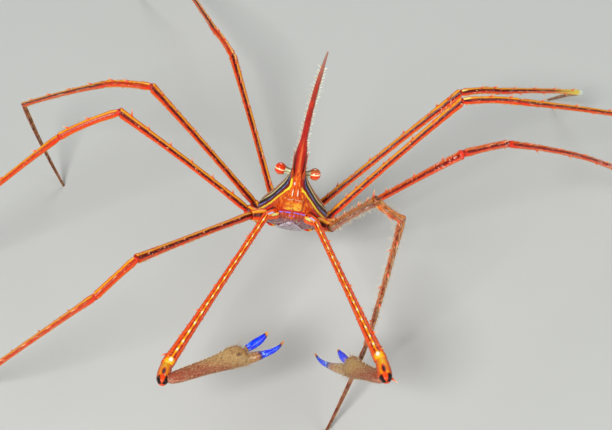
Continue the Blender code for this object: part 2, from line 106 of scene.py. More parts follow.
def add_node(
    tree: bpy.types.NodeTree,
    kind: str,
    links: Any = (),
    out: Any = 0,
    stops: Sequence[tuple[float, str]] = (),
    **settings: Any,
) -> Socket:
    """Add a shader node with its settings and links.

    Args:
        tree: the material's node tree.
        kind: the node's type without "ShaderNode" before it.
        links: the inputs in order, or by name or number: a value, a hex colour or what feeds it.
        out: name or number of the output that is wanted.
        stops: places and hex colours of a colour ramp.
        settings: the node's own properties.

    Returns:
        The output.
    """
    node = tree.nodes.new("ShaderNode" + kind)
    for key, value in settings.items():
        setattr(node, key, value)
    if stops:
        ramp = node.color_ramp
        for _ in range(len(stops) - len(ramp.elements)):
            ramp.elements.new(0.5)
        for number, (place, colour) in enumerate(stops):
            ramp.elements[number].position = place
            ramp.elements[number].color = linear(colour)
    for key, value in links.items() if isinstance(links, Mapping) else enumerate(links):
        if isinstance(value, Socket):
            tree.links.new(value, node.inputs[key])
        else:
            node.inputs[key].default_value = linear(value) if isinstance(value, str) else value
    return node.outputs[out]


@dataclass(frozen=True)
class Brush:
    """Paints one material: adds its nodes, and makes the masks and layers of cuticle's pigments."""

    tree: bpy.types.NodeTree

    def __call__(self, kind: str, links: Any = (), **settings: Any) -> Socket:
        """Add a node to the material, as add_node does."""
        return add_node(self.tree, kind, links, **settings)

    def clouds(self, size_mm: float, detail: float = 2.0) -> Socket:
        """Cloudy pigment: a soft value about 0.5 whose patches measure size_mm."""
        here, scale = self("TexCoord", out="Object"), 1 / (size_mm * MM)
        return self("TexNoise", {"Vector": here, "Scale": scale, "Detail": detail}, out="Fac")

    def wander(self, value: Any, size_mm: float, depth: float) -> Socket:
        """Let a value wander by half the depth to both sides, as lines do on a living shell."""
        drift = self("MapRange", {0: self.clouds(size_mm), 3: -depth / 2, 4: depth / 2})
        return self("Math", (drift, value), operation="ADD")

    def streaks(self, drawn: tuple[float, float, float], scale: float) -> Socket:
        """Pigment drawn out along the body: clouds on "skin".

        Args:
            drawn: how tight they are each way; they are stretched where it is small.
            scale: how tight they are in all.

        Returns:
            A soft value about 0.5.
        """
        skin = self("Attribute", out="Vector", attribute_name="skin")
        place = self("VectorMath", (skin, drawn), out="Vector", operation="MULTIPLY")
        return self("TexNoise", {"Vector": place, "Scale": scale, "Detail": 3.0}, out="Fac")

    def stripe(self, value: Any, centre: float, half: float, soft: float) -> Socket:
        """Mask of a stripe.

        Args:
            value: what the stripe is measured on.
            centre: its middle.
            half: half its full width.
            soft: how far it fades on each side.

        Returns:
            1 on the stripe, 0 away from it.
        """
        off = self("Math", (value, centre), operation="SUBTRACT")
        away = self("Math", (off,), operation="ABSOLUTE")
        ends = (away, half, half + soft, 1.0, 0.0)
        return self("MapRange", ends, interpolation_type="SMOOTHSTEP")

    def patches(self, size_mm: float, low: float, high: float, detail: float = 3.0) -> Socket:
        """Mask of cloudy patches: 1 where the clouds pass high, 0 where they are under low."""
        return self("MapRange", (self.clouds(size_mm, detail), low, high))

    def lay(self, under: Any, *coats: Sequence[Any]) -> Socket:
        """Lay pigments over a colour, one after the other.

        Args:
            under: the lowest colour.
            coats: a pigment and its masks each. It shows where all its masks are 1.

        Returns:
            The mixed colour.
        """
        for over, mask, *others in coats:
            for other in others:
                mask = self("Math", (mask, other), operation="MULTIPLY")
            under = self("Mix", {0: mask, 6: under, 7: over}, out=2, data_type="RGBA")
        return under

    def places(self) -> tuple[Socket, Socket, Socket, Socket]:
        """Read what the piece carries.

        Returns:
            The three values of "skin", and "share".
        """
        skin = self("Attribute", out="Vector", attribute_name="skin")
        share = self("Attribute", out="Fac", attribute_name="share")
        return (*(self("SeparateXYZ", (skin,), out=i) for i in range(3)), share)

    def round_limb(self) -> tuple[Socket, Socket, Socket]:
        """Read a place on a limb.

        Returns:
            Turn round it from -0.5 to 0.5 and 0 on the striped side, millimetres along, and share.
        """
        out, aside, along, share = self.places()
        angle = self("Math", (aside, out), operation="ARCTAN2")
        return self("Math", (angle, 2 * math.pi), operation="DIVIDE"), along, share


# Light passes a little way into thin cuticle, red furthest.
SCATTER_RADIUS = (1.0, 0.45, 0.25)
SCATTER_DEPTH_MM = 0.6
COAT_ROUGHNESS = 0.18
GRAIN_STRENGTH = 0.8


@dataclass(frozen=True)
class Finish:
    """A surface, named for what the real one is made of. The default is a satin crab cuticle.

    Cuticle is calcified chitin under a thin waxy skin. To the eye it has broad soft gleams that
    leave the pigment its colour, and a faint grain.
    """

    name: str
    roughness: float = 0.42
    ior: float = 1.50
    gleam: float = 0.38
    coat: float = 0.05
    scatter: float = 0.0
    grain_mm: float = 0.16
    grain_depth_mm: float = 0.012

    def material(self) -> bpy.types.Material:
        """Make the material, or find the one that was made before.

        Returns:
            The material.
        """
        known = bpy.data.materials.get(self.name)
        if known:
            return known
        material = bpy.data.materials.new(self.name)
        material.use_nodes = True
        tree = material.node_tree
        shader = tree.nodes["Principled BSDF"]
        shader.inputs["Roughness"].default_value = self.roughness
        shader.inputs["IOR"].default_value = self.ior
        shader.inputs["Specular IOR Level"].default_value = self.gleam
        shader.inputs["Coat Weight"].default_value = self.coat
        shader.inputs["Coat Roughness"].default_value = COAT_ROUGHNESS
        if self.scatter:
            shader.inputs["Subsurface Weight"].default_value = self.scatter
            shader.inputs["Subsurface Radius"].default_value = SCATTER_RADIUS
            shader.inputs["Subsurface Scale"].default_value = SCATTER_DEPTH_MM * MM
        n = Brush(tree)
        tree.links.new(self.paint(n), shader.inputs["Base Color"])
        tree.links.new(self.relief(n), shader.inputs["Normal"])
        return material

    def paint(self, n: Brush) -> Socket:
        """Colour of the surface."""
        raise NotImplementedError

    def relief(self, n: Brush) -> Socket:
        """Fine granules and pits, drawn coarser than the real 0.02 mm so that they show.

        Args:
            n: the material's brush.

        Returns:
            The bumped normal.
        """
        grain, depth = n.clouds(self.grain_mm, 3.0), self.grain_depth_mm * MM
        return n("Bump", {"Strength": GRAIN_STRENGTH, "Distance": depth, "Height": grain},
                 out="Normal")


@dataclass(frozen=True)
class LegCuticle(Finish):
    """Calcified leg cuticle: satin, with gold, maroon and orange stripes along the segment."""

    name: str = "leg_cuticle_striped"
    # Shares from 0 to 1: worn to a tan between shade and tint, redder stripes, a yellow glint near
    # the root, a red root, red rims, an orange cast on the dark stripe, and a painted highlight
    # that makes the far end pale.
    faded: float = 0.0
    ruddy: float = 0.0
    glint: float = 0.0
    blush: float = 0.9
    collar: float = 0.0
    warm: float = 0.0
    end_highlight: float = 0.0
    shade: str = "#5A240E"
    tint: str = "#B06A34"

    def paint(self, n: Brush) -> Socket:
        """Three stripes, three times round, that wander a little, with pale flecks and red joints.

        Args:
            n: the material's brush.

        Returns:
            The colour.
        """
        turn, _, share = n.round_limb()
        turns = n("Math", (turn, 3.0, 10.5), operation="MULTIPLY_ADD")
        place = n("Math", (n.wander(turns, 2.2, 0.16),), operation="FRACT")
        striped = n("ValToRGB", (place,), stops=(
            (0.00, "#A82A06"), (0.05, "#F04A08"), (0.22, "#FF4E08"), (0.31, "#D42A06"),
            (0.37, "#6E0A06"), (0.50, "#480406"), (0.63, "#7A1406"), (0.69, "#E07A0A"),
            (0.75, "#FFAE0C"), (0.88, "#FFB414"), (0.95, "#FF8A0C"),
        ))
        tan = n.lay(self.shade, (self.tint, n.patches(0.8, 0.4, 0.6)))
        late = n("MapRange", (share, 0.70, 0.85))
        root = n("MapRange", (share, 0.10, 0.04))
        return n.lay(
            striped,
            ("#DC340A", n.stripe(place, 0.79, 0.10, 0.03), self.ruddy),
            ("#8E0E06", n.stripe(place, 0.5, 0.08, 0.08), self.ruddy, 0.7),
            ("#E4440A", n.stripe(place, 0.5, 0.14, 0.08), self.warm),
            ("#E2380A", n.patches(1.1, 0.52, 0.68), 0.35),
            ("#FFDCA0", n.patches(0.30, 0.64, 0.72), 0.75),
            ("#F0B0A0", n.patches(0.55, 0.56, 0.62, 2.0), late, self.ruddy),
            # Painted highlight on the far end: bright yellow, then a blue-white tip.
            ("#FFE45A", n("MapRange", (share, 0.60, 0.92)), self.end_highlight),
            ("#E4FFFF", n("MapRange", (share, 0.94, 0.98)), self.end_highlight),
            (tan, self.faded),
            ("#FF2A00", n.stripe(place, 0.20, 0.12, 0.06), root, self.blush),
            ("#F4300C", n("MapRange", (share, 0.97, 0.985)), self.collar),
            ("#F4300C", n("MapRange", (share, 0.04, 0.02)), self.collar),
            ("#FFF07A", n.stripe(place, 0.81, 0.10, 0.07),
             n.stripe(share, 0.05, 0.03, 0.08), self.glint),
        )


@dataclass(frozen=True)
class ArmCuticle(Finish):
    """Cheliped arm cuticle: orange red, with a line of bright spots between two dark red lines."""

    name: str = "cheliped_cuticle_lined"
    # How strongly the painted highlights on the hip show, from 0 to 1.
    hip_highlight: float = 0.0

    def paint(self, n: Brush) -> Socket:
        """Bright midline in long spots, dark lines beside it, and a white spot before the wrist.

        Args:
            n: the material's brush.

        Returns:
            The colour.
        """
        turn, along, share = n.round_limb()
        away = n("Math", (n.wander(turn, 1.2, 0.05),), operation="ABSOLUTE")
        place = n("Math", (away, 2.0), operation="MULTIPLY")
        lined = n("ValToRGB", (place,), stops=(
            (0.00, "#FF9A0C"), (0.045, "#FF7A0A"), (0.075, "#9A0E04"), (0.12, "#8E0C04"),
            (0.16, "#F0400A"), (0.36, "#FF5A0C"), (0.42, "#9C1C06"), (0.47, "#C02C08"),
            (0.54, "#FF8A20"), (0.66, "#F0500C"), (0.78, "#8C1C08"), (0.86, "#F09018"),
            (1.00, "#F2A41C"),
        ))
        length = n("CombineXYZ", {"Z": along})
        spots = n("TexWave", {"Vector": length, "Scale": 0.165, "Distortion": 5.0, "Detail": 2.0},
                  out="Fac", bands_direction="Z")
        core = n.stripe(away, 0.0, 0.018, 0.018)
        across = n("MapRange", (turn, -0.06, 0.04, -1.0, 1.0), clamp=False)
        down = n("MapRange", (share, 0.959, 0.987, -1.0, 1.0), clamp=False)
        size = n("VectorMath", (n("CombineXYZ", {"X": across, "Y": down}),), out="Value",
                 operation="LENGTH")
        return n.lay(
            lined,
            ("#FF8A1C", n.patches(0.5, 0.5, 0.66), 0.45),
            ("#FFE2A8", n.patches(0.26, 0.65, 0.72), 0.7),
            ("#FFC40E", core, n("MapRange", (spots, 0.2, 0.5))),
            ("#FFF8C4", core, n("MapRange", (spots, 0.80, 0.95))),
            ("#FFC010", n("MapRange", (share, 0.955, 0.975)),
             n.stripe(away, 0.0, 0.08, 0.08)),
            ("#FFFDE8", n("MapRange", (size, 1.15, 0.7))),
            # Painted highlights on the hip: a blue-white streak above and a pale yellow one inside.
            ("#C0DAFF", n.stripe(share, 0.70, 0.16, 0.16),
             n.stripe(turn, 0.06, 0.010, 0.038), self.hip_highlight),
            ("#E4F088", n.stripe(share, 0.42, 0.20, 0.18),
             n.stripe(turn, -0.03, 0.008, 0.036), self.hip_highlight),
        )


@dataclass(frozen=True)
class WristCuticle(Finish):
    """Cheliped wrist cuticle: satin yellow, with a dark oval patch and a blackish ring."""

    name: str = "cheliped_wrist_cuticle"

    def paint(self, n: Brush) -> Socket:
        """Yellow and orange, the oval on the striped side, black patches beside an orange end.

        Args:
            n: the material's brush.

        Returns:
            The colour.
        """
        turn, _, share = n.round_limb()
        away = n("Math", (turn,), operation="ABSOLUTE")
        yellow = n("ValToRGB", (n.wander(away, 0.6, 0.05),), stops=(
            (0.0, "#FFC814"), (0.07, "#FFA80C"), (0.13, "#F0600C"), (0.22, "#C03008"),
            (0.5, "#E8700E"),
        ))
        across = n("Math", (turn, 0.038), operation="DIVIDE")
        along = n("MapRange", (share, 0.48, 0.84, -1.0, 1.0), clamp=False)
        size = n("VectorMath", (n("CombineXYZ", {"X": across, "Y": along}),), out="Value",
                 operation="LENGTH")
        late = n("MapRange", (n.wander(share, 0.5, 0.06), 0.84, 0.90))
        return n.lay(
            yellow,
            ("#F4680C", n.patches(0.5, 0.50, 0.62), 0.65),
            ("#F2540C", n("MapRange", (size, 1.9, 1.3))),
            ("#3A0808", n("MapRange", (size, 1.15, 0.75))),
            ("#F04A0A", late),
            ("#160608", late, n.stripe(away, 0.2, 0.10, 0.04)),
        )


@dataclass(frozen=True)
class PalmCuticle(Finish):
    """Palm cuticle: dull and granular, reddish brown at the wrist and olive tan by the fingers."""

    name: str = "palm_cuticle_granular"
    roughness: float = 0.55
    grain_mm: float = 0.22
    grain_depth_mm: float = 0.05
    granule_mm: float = 0.36

    def paint(self, n: Brush) -> Socket:
        """Speckled brown that pales along the palm, greener above, with rows of pale granules.

        Args:
            n: the material's brush.

        Returns:
            The colour.
        """
        side, _, _, share = n.places()
        upper = n("Math", (side, 0.24), operation="MULTIPLY")
        place = n.wander(n("Math", (share, upper), operation="ADD"), 1.2, 0.34)
        brown = n("ValToRGB", (place,), stops=(
            (0.00, "#B8745A"), (0.08, "#A24A2C"), (0.35, "#96482C"), (0.55, "#A0643E"),
            (0.72, "#AE8650"), (0.90, "#BC9860"), (1.00, "#B48850"),
        ))
        here, scale = n("TexCoord", out="Object"), 1 / (self.granule_mm * MM)
        cells = n("TexVoronoi", {"Vector": here, "Scale": scale}, out="Distance")
        return n.lay(
            brown,
            ("#E8CCA0", n("MapRange", (cells, 0.34, 0.14)), 0.45),
            ("#4E1E12", n.patches(0.4, 0.56, 0.70), 0.65),
            ("#4A1A10", n.stripe(share, 0.86, 0.012, 0.03),
             n.stripe(side, 0.30, 0.06, 0.16), 0.75),
        )


@dataclass(frozen=True)
class FingerCuticle(Finish):
    """Finger cuticle: smooth and glossy, ultramarine with a horn-coloured orange tip."""

    name: str = "finger_cuticle_blue"
    roughness: float = 0.22
    coat: float = 0.6
    grain_mm: float = 0.4
    grain_depth_mm: float = 0.006
    # Shares of the length where the blue starts and ends.
    blue_from: float = 0.05
    blue_to: float = 0.84

    def paint(self, n: Brush) -> Socket:
        """Brown root, blue length with painted highlight flecks near its start, dark edge and
        orange tip.

        Args:
            n: the material's brush.

        Returns:
            The colour.
        """
        share = n.places()[3]
        place = n.wander(share, 0.6, 0.05)
        start, end = self.blue_from, self.blue_to
        blue = n("ValToRGB", (place,), stops=(
            (0.0, "#B08C54"), (start * 0.5, "#B8884C"), (start * 0.86, "#B47440"),
            (start * 0.96, "#5A1E1C"), (start + 0.015, "#0A22D8"), (start + 0.08, "#0C34FF"),
            (end - 0.08, "#0A2CF8"), (end - 0.02, "#0818B0"), (end, "#2A1048"),
            (end + 0.03, "#D8701C"), (end + 0.07, "#F0A040"), (1.0, "#F4C47A"),
        ))
        root = n("MapRange", (share, start - 0.02, start - 0.06))
        length = n("CombineXYZ", {"Z": share})
        banded = n("TexWave", {"Vector": length, "Scale": 3.4, "Distortion": 3.0}, out="Fac",
                   bands_direction="Z")
        pale = n.patches(0.45, 0.50, 0.70)
        middle = (start + end - 0.1) / 2
        return n.lay(
            blue,
            ("#8A4A2C", n("MapRange", (banded, 0.62, 0.86)), root, 0.4),
            ("#F0DCA8", n.patches(0.4, 0.54, 0.70), root, 0.6),
            ("#2E8CFF", pale, n.stripe(share, middle, 0.16, 0.10), 0.7),
            # Painted highlight: white-blue flecks where the blue starts.
            ("#A8DCFF", pale, n.stripe(share, start + 0.07, 0.035, 0.04)),
        )


@dataclass(frozen=True)
class BodyCuticle(Finish):
    """Body cuticle: satin, with fine lines that run forward and meet in the red rostrum."""

    name: str = "carapace_cuticle_lined"

    def paint(self, n: Brush) -> Socket:
        """Lines by their place round the body, over the face, the belly and the rostrum.

        Args:
            n: the material's brush.

        Returns:
            The colour.
        """
        left, forward, _, share = n.places()
        away = n("Math", (left,), operation="ABSOLUTE")
        band = n.wander(share, 0.9, 0.07)
        # The ramp runs from 0 to 1, and the bands from -1 to 2.
        raised = n("Math", (band, 1.0), operation="ADD")
        place = n("Math", (raised, 3.0), operation="DIVIDE")
        stops = [((b + 1.0) / 3.0, colour) for b, colour in self.bands()]
        lines = n("ValToRGB", (place,), stops=stops)
        lined = n.lay(
            lines,
            ("#D8703C", n.patches(0.30, 0.58, 0.72, 4.0), 0.2),
            ("#1C0A24", n.patches(0.9, 0.46, 0.40, 2.0),
             n.stripe(band, 0.5, 0.03, 0.03), 0.8),
            # The left yellow line ends before the right one, among red ones.
            ("#B01C0A", n("MapRange", (left, 0.0, 0.2)),
             n("MapRange", (forward, 9.0, 9.8)), n.stripe(band, -0.02, 0.10, 0.03)),
            ("#5A0A08", n("MapRange", (forward, 10.9, 12.0))),
        )
        return n.lay(
            lined,
            (self.face(n, away, forward, band), n("MapRange", (band, -0.11, -0.15))),
            (self.rostrum(n, away, forward), n("MapRange", (forward, 12.2, 15.0))),
        )

    def bands(self) -> list[tuple[float, str]]:
        """Stops of the lines.

        Returns:
            Colours by place: 0 on the yellow line, -1 from 3 mm below it, 1 on the pale line and 2
            on the middle of the back.
        """
        return [
            (-1.00, "#F0560C"), (-0.13, "#B01A08"), (-0.10, "#FF9A14"), (-0.065, "#FFE832"),
            (0.03, "#FFF23C"), (0.07, "#D86A0C"), (0.10, "#8E0A10"), (0.40, "#5A0614"),
            (0.44, "#2C2468"), (0.47, "#9AC4FF"), (0.52, "#7480FF"), (0.55, "#140608"),
            (0.86, "#1C0C06"), (0.90, "#F0E08C"), (0.97, "#FFF2A8"), (1.00, "#3A1A0A"),
            (1.05, "#4A1E0C"), (1.08, "#D8802A"), (1.20, "#C8661C"), (1.26, "#3A140A"),
            (1.32, "#F0DCA0"), (1.36, "#C87A28"), (1.42, "#4A1A0C"), (1.50, "#D8641A"),
            (1.57, "#3A140C"), (1.61, "#F4E2A8"), (1.65, "#D88A30"), (1.73, "#5A200E"),
            (1.80, "#E8781C"), (1.90, "#F0A030"), (2.00, "#6A2A10"),
        ]

    def face(self, n: Brush, away: Socket, forward: Socket, band: Socket) -> Socket:
        """Orange face and greyish belly, with the marks round the mouth.

        Args:
            n: the material's brush.
            away: millimetres from the midline.
            forward: millimetres forward of the hub.
            band: place across the lines.

        Returns:
            The colour.
        """
        place = n("MapRange", (n.wander(forward, 1.0, 1.0), -9.0, 15.0))
        orange = n("ValToRGB", (place,), stops=(
            (0.00, "#6A5C5A"), (0.40, "#766A78"), (0.455, "#84626A"), (0.50, "#B8502C"),
            (0.58, "#E4560E"), (0.68, "#F0700E"), (0.76, "#F26A10"), (0.84, "#F0600C"),
            (0.93, "#E2500E"), (1.00, "#D04010"),
        ))
        streak = n.streaks((2.6, 0.45, 1.2), 1.3)
        belly = n("MapRange", (forward, 2.4, 1.2))
        beside = n.stripe(forward, 0.6, 3.0, 0.9)
        colour = n.lay(
            orange,
            ("#B01E04", n("MapRange", (streak, 0.49, 0.59)), 0.75),
            ("#FFA83C", n("MapRange", (streak, 0.44, 0.36)), 0.6),
            ("#E4DEEC", n.patches(0.5, 0.52, 0.66, 4.0), belly, 0.6),
            # A maroon field beside the mouth, with a red upper border.
            ("#58061C", n.stripe(band, -0.52, 0.24, 0.10), beside),
            ("#E02A10", n.stripe(band, -0.34, 0.05, 0.05), beside),
            # A white fleck beside the midline, below the rostrum.
            ("#FFF8E8", n.stripe(n.places()[0], -0.33, 0.02, 0.17),
             n.stripe(forward, 10.35, 0.06, 0.36)),
        )
        return self.mouth_marks(n, colour, away, forward)

    def mouth_marks(self, n: Brush, colour: Socket, away: Socket, forward: Socket) -> Socket:
        """Lines round the mouth: a pale brow, a red lip over a violet one, and an orange wedge.

        Args:
            n: the material's brush.
            colour: what the lines lie on.
            away: millimetres from the midline.
            forward: millimetres forward of the hub.

        Returns:
            The colour.
        """
        square = n("Math", (away, 2.0), operation="POWER")
        brow, lip = (n("Math", (square, bend, forward), operation="MULTIPLY_ADD")
                     for bend in (0.05, 0.12))
        wedge = n("Math", (forward, -0.4, away), operation="MULTIPLY_ADD")
        inside = n.stripe(away, 1.25, 0.95, 0.10)
        return n.lay(
            colour,
            ("#FFD090", n.stripe(brow, 7.35, 0.05, 0.08),
             n.stripe(away, 0.0, 1.5, 0.15)),
            ("#5A5060", n.stripe(forward, 7.35, 0.10, 0.08),
             n.stripe(away, 0.0, 0.22, 0.08)),
            ("#D00414", n.stripe(n.wander(lip, 0.5, 0.25), 5.0, 0.14, 0.08), inside),
            ("#8C7CFF", n.stripe(lip, 4.52, 0.13, 0.08), inside,
             n.patches(0.55, 0.36, 0.46, 2.0)),
            ("#B45CFF", n.stripe(away, 0.34, 0.11, 0.07),
             n.stripe(forward, 3.6, 0.12, 0.08)),
            ("#F0681C", n("MapRange", (wedge, -0.80, -0.95)),
             n.stripe(forward, 2.9, 0.55, 0.15), 0.9),
        )

    def rostrum(self, n: Brush, away: Socket, forward: Socket) -> Socket:
        """Deep red rostrum with an orange midline and maroon borders near its base.

        Args:
            n: the material's brush.
            away: millimetres from the midline.
            forward: millimetres forward of the hub.

        Returns:
            The colour.
        """
        place = n("Math", (forward, 46.0), operation="DIVIDE")
        red = n("ValToRGB", (place,), stops=(
            (0.28, "#D81E06"), (0.36, "#C60E04"), (0.60, "#B80E06"), (0.80, "#AC3420"),
            (0.90, "#B07060"), (1.0, "#B08C7C"),
        ))
        streak = n.streaks((3.0, 0.35, 3.0), 1.2)
        return n.lay(
            red,
            ("#F03A14", n("MapRange", (streak, 0.50, 0.66)), 0.6),
            ("#4A0406", n("MapRange", (away, 0.56, 0.78)),
             n("MapRange", (forward, 20.0, 15.0)), 0.9),
            ("#FF7A30", n.stripe(away, 0.0, 0.10, 0.26),
             n("MapRange", (forward, 23.0, 18.0)), 0.9),
        )


@dataclass(frozen=True)
class MouthCuticle(Finish):
    """Cuticle of the mouth plates: a little waxy, yellow orange, and redder at the sides."""

    name: str = "mouth_plate_cuticle"
    roughness: float = 0.34
    scatter: float = 0.15

    def paint(self, n: Brush) -> Socket:
        """Yellow orange plates with a red rim, and a pale line down each palp.

        Args:
            n: the material's brush.

        Returns:
            The colour.
        """
        out, aside, _, share = n.places()
        yellow = n("ValToRGB", (n.wander(share, 0.7, 0.10),), stops=(
            (0.0, "#E0500C"), (0.07, "#F8A420"), (0.20, "#FFBC2C"), (0.36, "#FAA81E"),
            (0.46, "#F07814"), (0.56, "#B83008"), (0.66, "#E8600C"), (1.0, "#F06A10"),
        ))
        smile = n.stripe(n.wander(share, 0.8, 0.03), 0.555, 0.005, 0.012)
        return n.lay(
            yellow,
            ("#D8400A", n("MapRange", (n.wander(aside, 0.8, 0.5), 0.35, 0.95)), 0.85),
            ("#FFDC70", n.patches(0.45, 0.50, 0.66), 0.5),
            ("#D84A08", n.patches(0.7, 0.50, 0.40), 0.75),
            ("#FFD0B0", smile, n("MapRange", (aside, 0.75, 0.45)), 0.6),
            ("#F8ECD8", n.stripe(aside, 0.0, 0.18, 0.20),
             n.stripe(share, 0.84, 0.10, 0.04), n("MapRange", (out, 0.2, 0.6))),
        )


@dataclass(frozen=True)
class Cornea(Finish):
    """Eye surface: smooth and wet-looking, red orange with cream and brown lines."""

    name: str = "eye_cornea_red"
    roughness: float = 0.12
    coat: float = 0.7
    grain_mm: float = 0.05
    grain_depth_mm: float = 0.003
    # Stops above the cream line.
    crown: tuple[tuple[float, str], ...] = ()

    def paint(self, n: Brush) -> Socket:
        """Bands by height across the eye, from -1 below to 1 above.

        Args:
            n: the material's brush.

        Returns:
            The colour.
        """
        height = n.places()[2]
        place = n("MapRange", (n.wander(height, 0.5, 0.16), -1.0, 1.0))
        return n("ValToRGB", (place,), stops=(
            (0.00, "#E8A040"), (0.10, "#F0902C"), (0.16, "#E8420C"), (0.24, "#F09030"),
            (0.28, "#EE3A08"), (0.49, "#FF3204"), (0.515, "#FFB030"), (0.54, "#FFFAD0"),
            (0.60, "#FFF6B8"), *self.crown,
        ))


@dataclass(frozen=True)
class PlainCuticle(Finish):
    """Cuticle that runs from one colour at the root to another at the tip, a little cloudy."""

    root: str = "#E0561A"
    tip: str = "#FFE6A8"
    turn_at: float = 0.5
    patch_mm: float = 1.4
    mottle: float = 0.3

    def paint(self, n: Brush) -> Socket:
        """Root colour into tip colour along the share.

        Args:
            n: the material's brush.

        Returns:
            The colour.
        """
        share = n.places()[3]
        late = n("MapRange", (share, self.turn_at - 0.3, self.turn_at + 0.3))
        patches = n.patches(self.patch_mm, 0.45, 0.7, 2.0)
        return n.lay(self.root, (self.tip, late), (self.root, patches, self.mottle))


# Leg cuticle, calcified and satin. The segments by the knee glint yellow, the outer ones are paler,
# and the dactyls are worn to a dull brown. The right legs are warmer, the left third leg is redder,
# the left second one is worn and tan, and the left fifth one ends in a painted highlight, pale
# yellow and white.
LEG = LegCuticle()
LEG_KNEE = LegCuticle(name="leg_knee_cuticle", glint=1.0)
LEG_SHIN = LegCuticle(name="leg_shin_cuticle", faded=0.15)
LEG_WARM_KNEE = LegCuticle(name="leg_knee_cuticle_warm", glint=0.25, collar=0.8, warm=0.6)
LEG_WARM_SHIN = LegCuticle(name="leg_shin_cuticle_warm", faded=0.08, warm=0.7)
LEG_HIGHLIT_END = LegCuticle(name="leg_shin_cuticle_pale_end", end_highlight=0.9)
LEG_END = LegCuticle(name="leg_tip_cuticle", faded=0.8, blush=0.0, shade="#3A1A14", tint="#8A5A3C")
LEG_RUDDY = LegCuticle(name="leg_cuticle_ruddy", ruddy=0.85, collar=0.9)
LEG_RUDDY_KNEE = LegCuticle(name="leg_knee_cuticle_ruddy", ruddy=0.8, collar=0.9)
LEG_TAN = LegCuticle(name="leg_cuticle_tan", faded=0.68, blush=0.0, shade="#7A2C10", tint="#C07C4C")
LEG_TAN_KNEE = LegCuticle(
    name="leg_knee_cuticle_tan", faded=0.6, glint=0.4, blush=0.2, shade="#B4481A", tint="#F08A34"
)
# Arm cuticle, as satin as the legs'. The hips carry painted highlights, pale streaks that make
# them look moist.
ARM = ArmCuticle()
ARM_BASE = ArmCuticle(name="cheliped_base_cuticle", hip_highlight=1.0)
WRIST = WristCuticle()
# Granular palm cuticle scatters the light, so it looks dry beside the fingers.
PALM = PalmCuticle()
# The fingers' cuticle is hard, dense and polished by wear: small bright gleams on deep blue.
# The pale flecks where the blue starts are painted highlights.
MOVING_FINGER = FingerCuticle(name="moving_finger_cuticle_blue", blue_from=0.06)
FIXED_FINGERS = {
    side: FingerCuticle(name=f"fixed_finger_cuticle_{side.tag}", blue_from=start, blue_to=0.91)
    for side, start in ((Side.RIGHT, 0.48), (Side.LEFT, 0.59))
}
# The carapace's skin gleams less than the legs', so its fine lines stay clear. The underside's is
# thinner, and light passes into it a little, which gives it a soft look.
CARAPACE = BodyCuticle(gleam=0.28)
BELLY = BodyCuticle(name="underside_cuticle", scatter=0.12)
MOUTH = MouthCuticle()
# The corneas are clear and wet-looking, with one sharp gleam each.
CORNEAS = {
    Side.RIGHT: Cornea(crown=((0.63, "#FF4408"), (0.80, "#F83A08"), (1.00, "#E24A10"))),
    Side.LEFT: Cornea(
        name="eye_cornea_banded",
        crown=(
            (0.63, "#FF4408"), (0.72, "#F83A08"), (0.745, "#FFD8A0"), (0.77, "#8A1C08"),
            (0.84, "#F4702C"), (0.89, "#6A2A14"), (0.94, "#E08038"), (1.00, "#7A3414"),
        ),
    ),
}
# Spines are cuticle too. Their tips hold little pigment and let light in, so they look pale.
SPINE = PlainCuticle(
    name="spine_cuticle", root="#F0501A", tip="#FFD09A", turn_at=0.6, scatter=0.1
)
EDGE_HOOK = PlainCuticle(
    name="rostrum_hook_cuticle", root="#F0902C", tip="#EEFFEC", turn_at=0.35, scatter=0.1
)
# Soft folded skin of the joints, not calcified: duller than the shell, and finely wrinkled.
MEMBRANE = PlainCuticle(
    name="joint_membrane", root="#A01C08", tip="#F03C10", roughness=0.5, coat=0.1,
    grain_mm=0.3, grain_depth_mm=0.03,
)
TAN_MEMBRANE = replace(MEMBRANE, name="tan_joint_membrane", root="#6A341C", tip="#C8743C")
ARM_MEMBRANE = replace(MEMBRANE, name="arm_joint_membrane", root="#B04A08", tip="#FFB414")
# Thin, half clear cuticle of the stalk, the feeler and the tail: pale lines and a soft satin.
STALK = PlainCuticle(
    name="eye_stalk_cuticle", root="#8A7440", tip="#F4FFD8", turn_at=0.3, patch_mm=0.4
)
FEELER = PlainCuticle(name="feeler_cuticle", root="#C8480E", tip="#C8502A")
TAIL = PlainCuticle(
    name="tail_cuticle", root="#745A62", tip="#DCD0D8", turn_at=0.2, mottle=0.9, patch_mm=0.5,
    scatter=0.1, roughness=0.45, grain_depth_mm=0.03,
)
# Bare chitin of hairs and teeth: hairs are dull and straw-coloured, teeth pale and polished.
SETA = PlainCuticle(
    name="seta_chitin", root="#C0A068", tip="#F6ECCB", turn_at=0.4, roughness=0.45, coat=0.0
)
PALM_SETA = PlainCuticle(
    name="palm_seta_chitin", root="#8E5E3C", tip="#E0C898", roughness=0.5, coat=0.0
)
TOOTH = PlainCuticle(name="tooth_chitin", root="#F0D8A8", tip="#FFF4E0", roughness=0.3)


# ---------------------------------------------------------------- geometry helpers


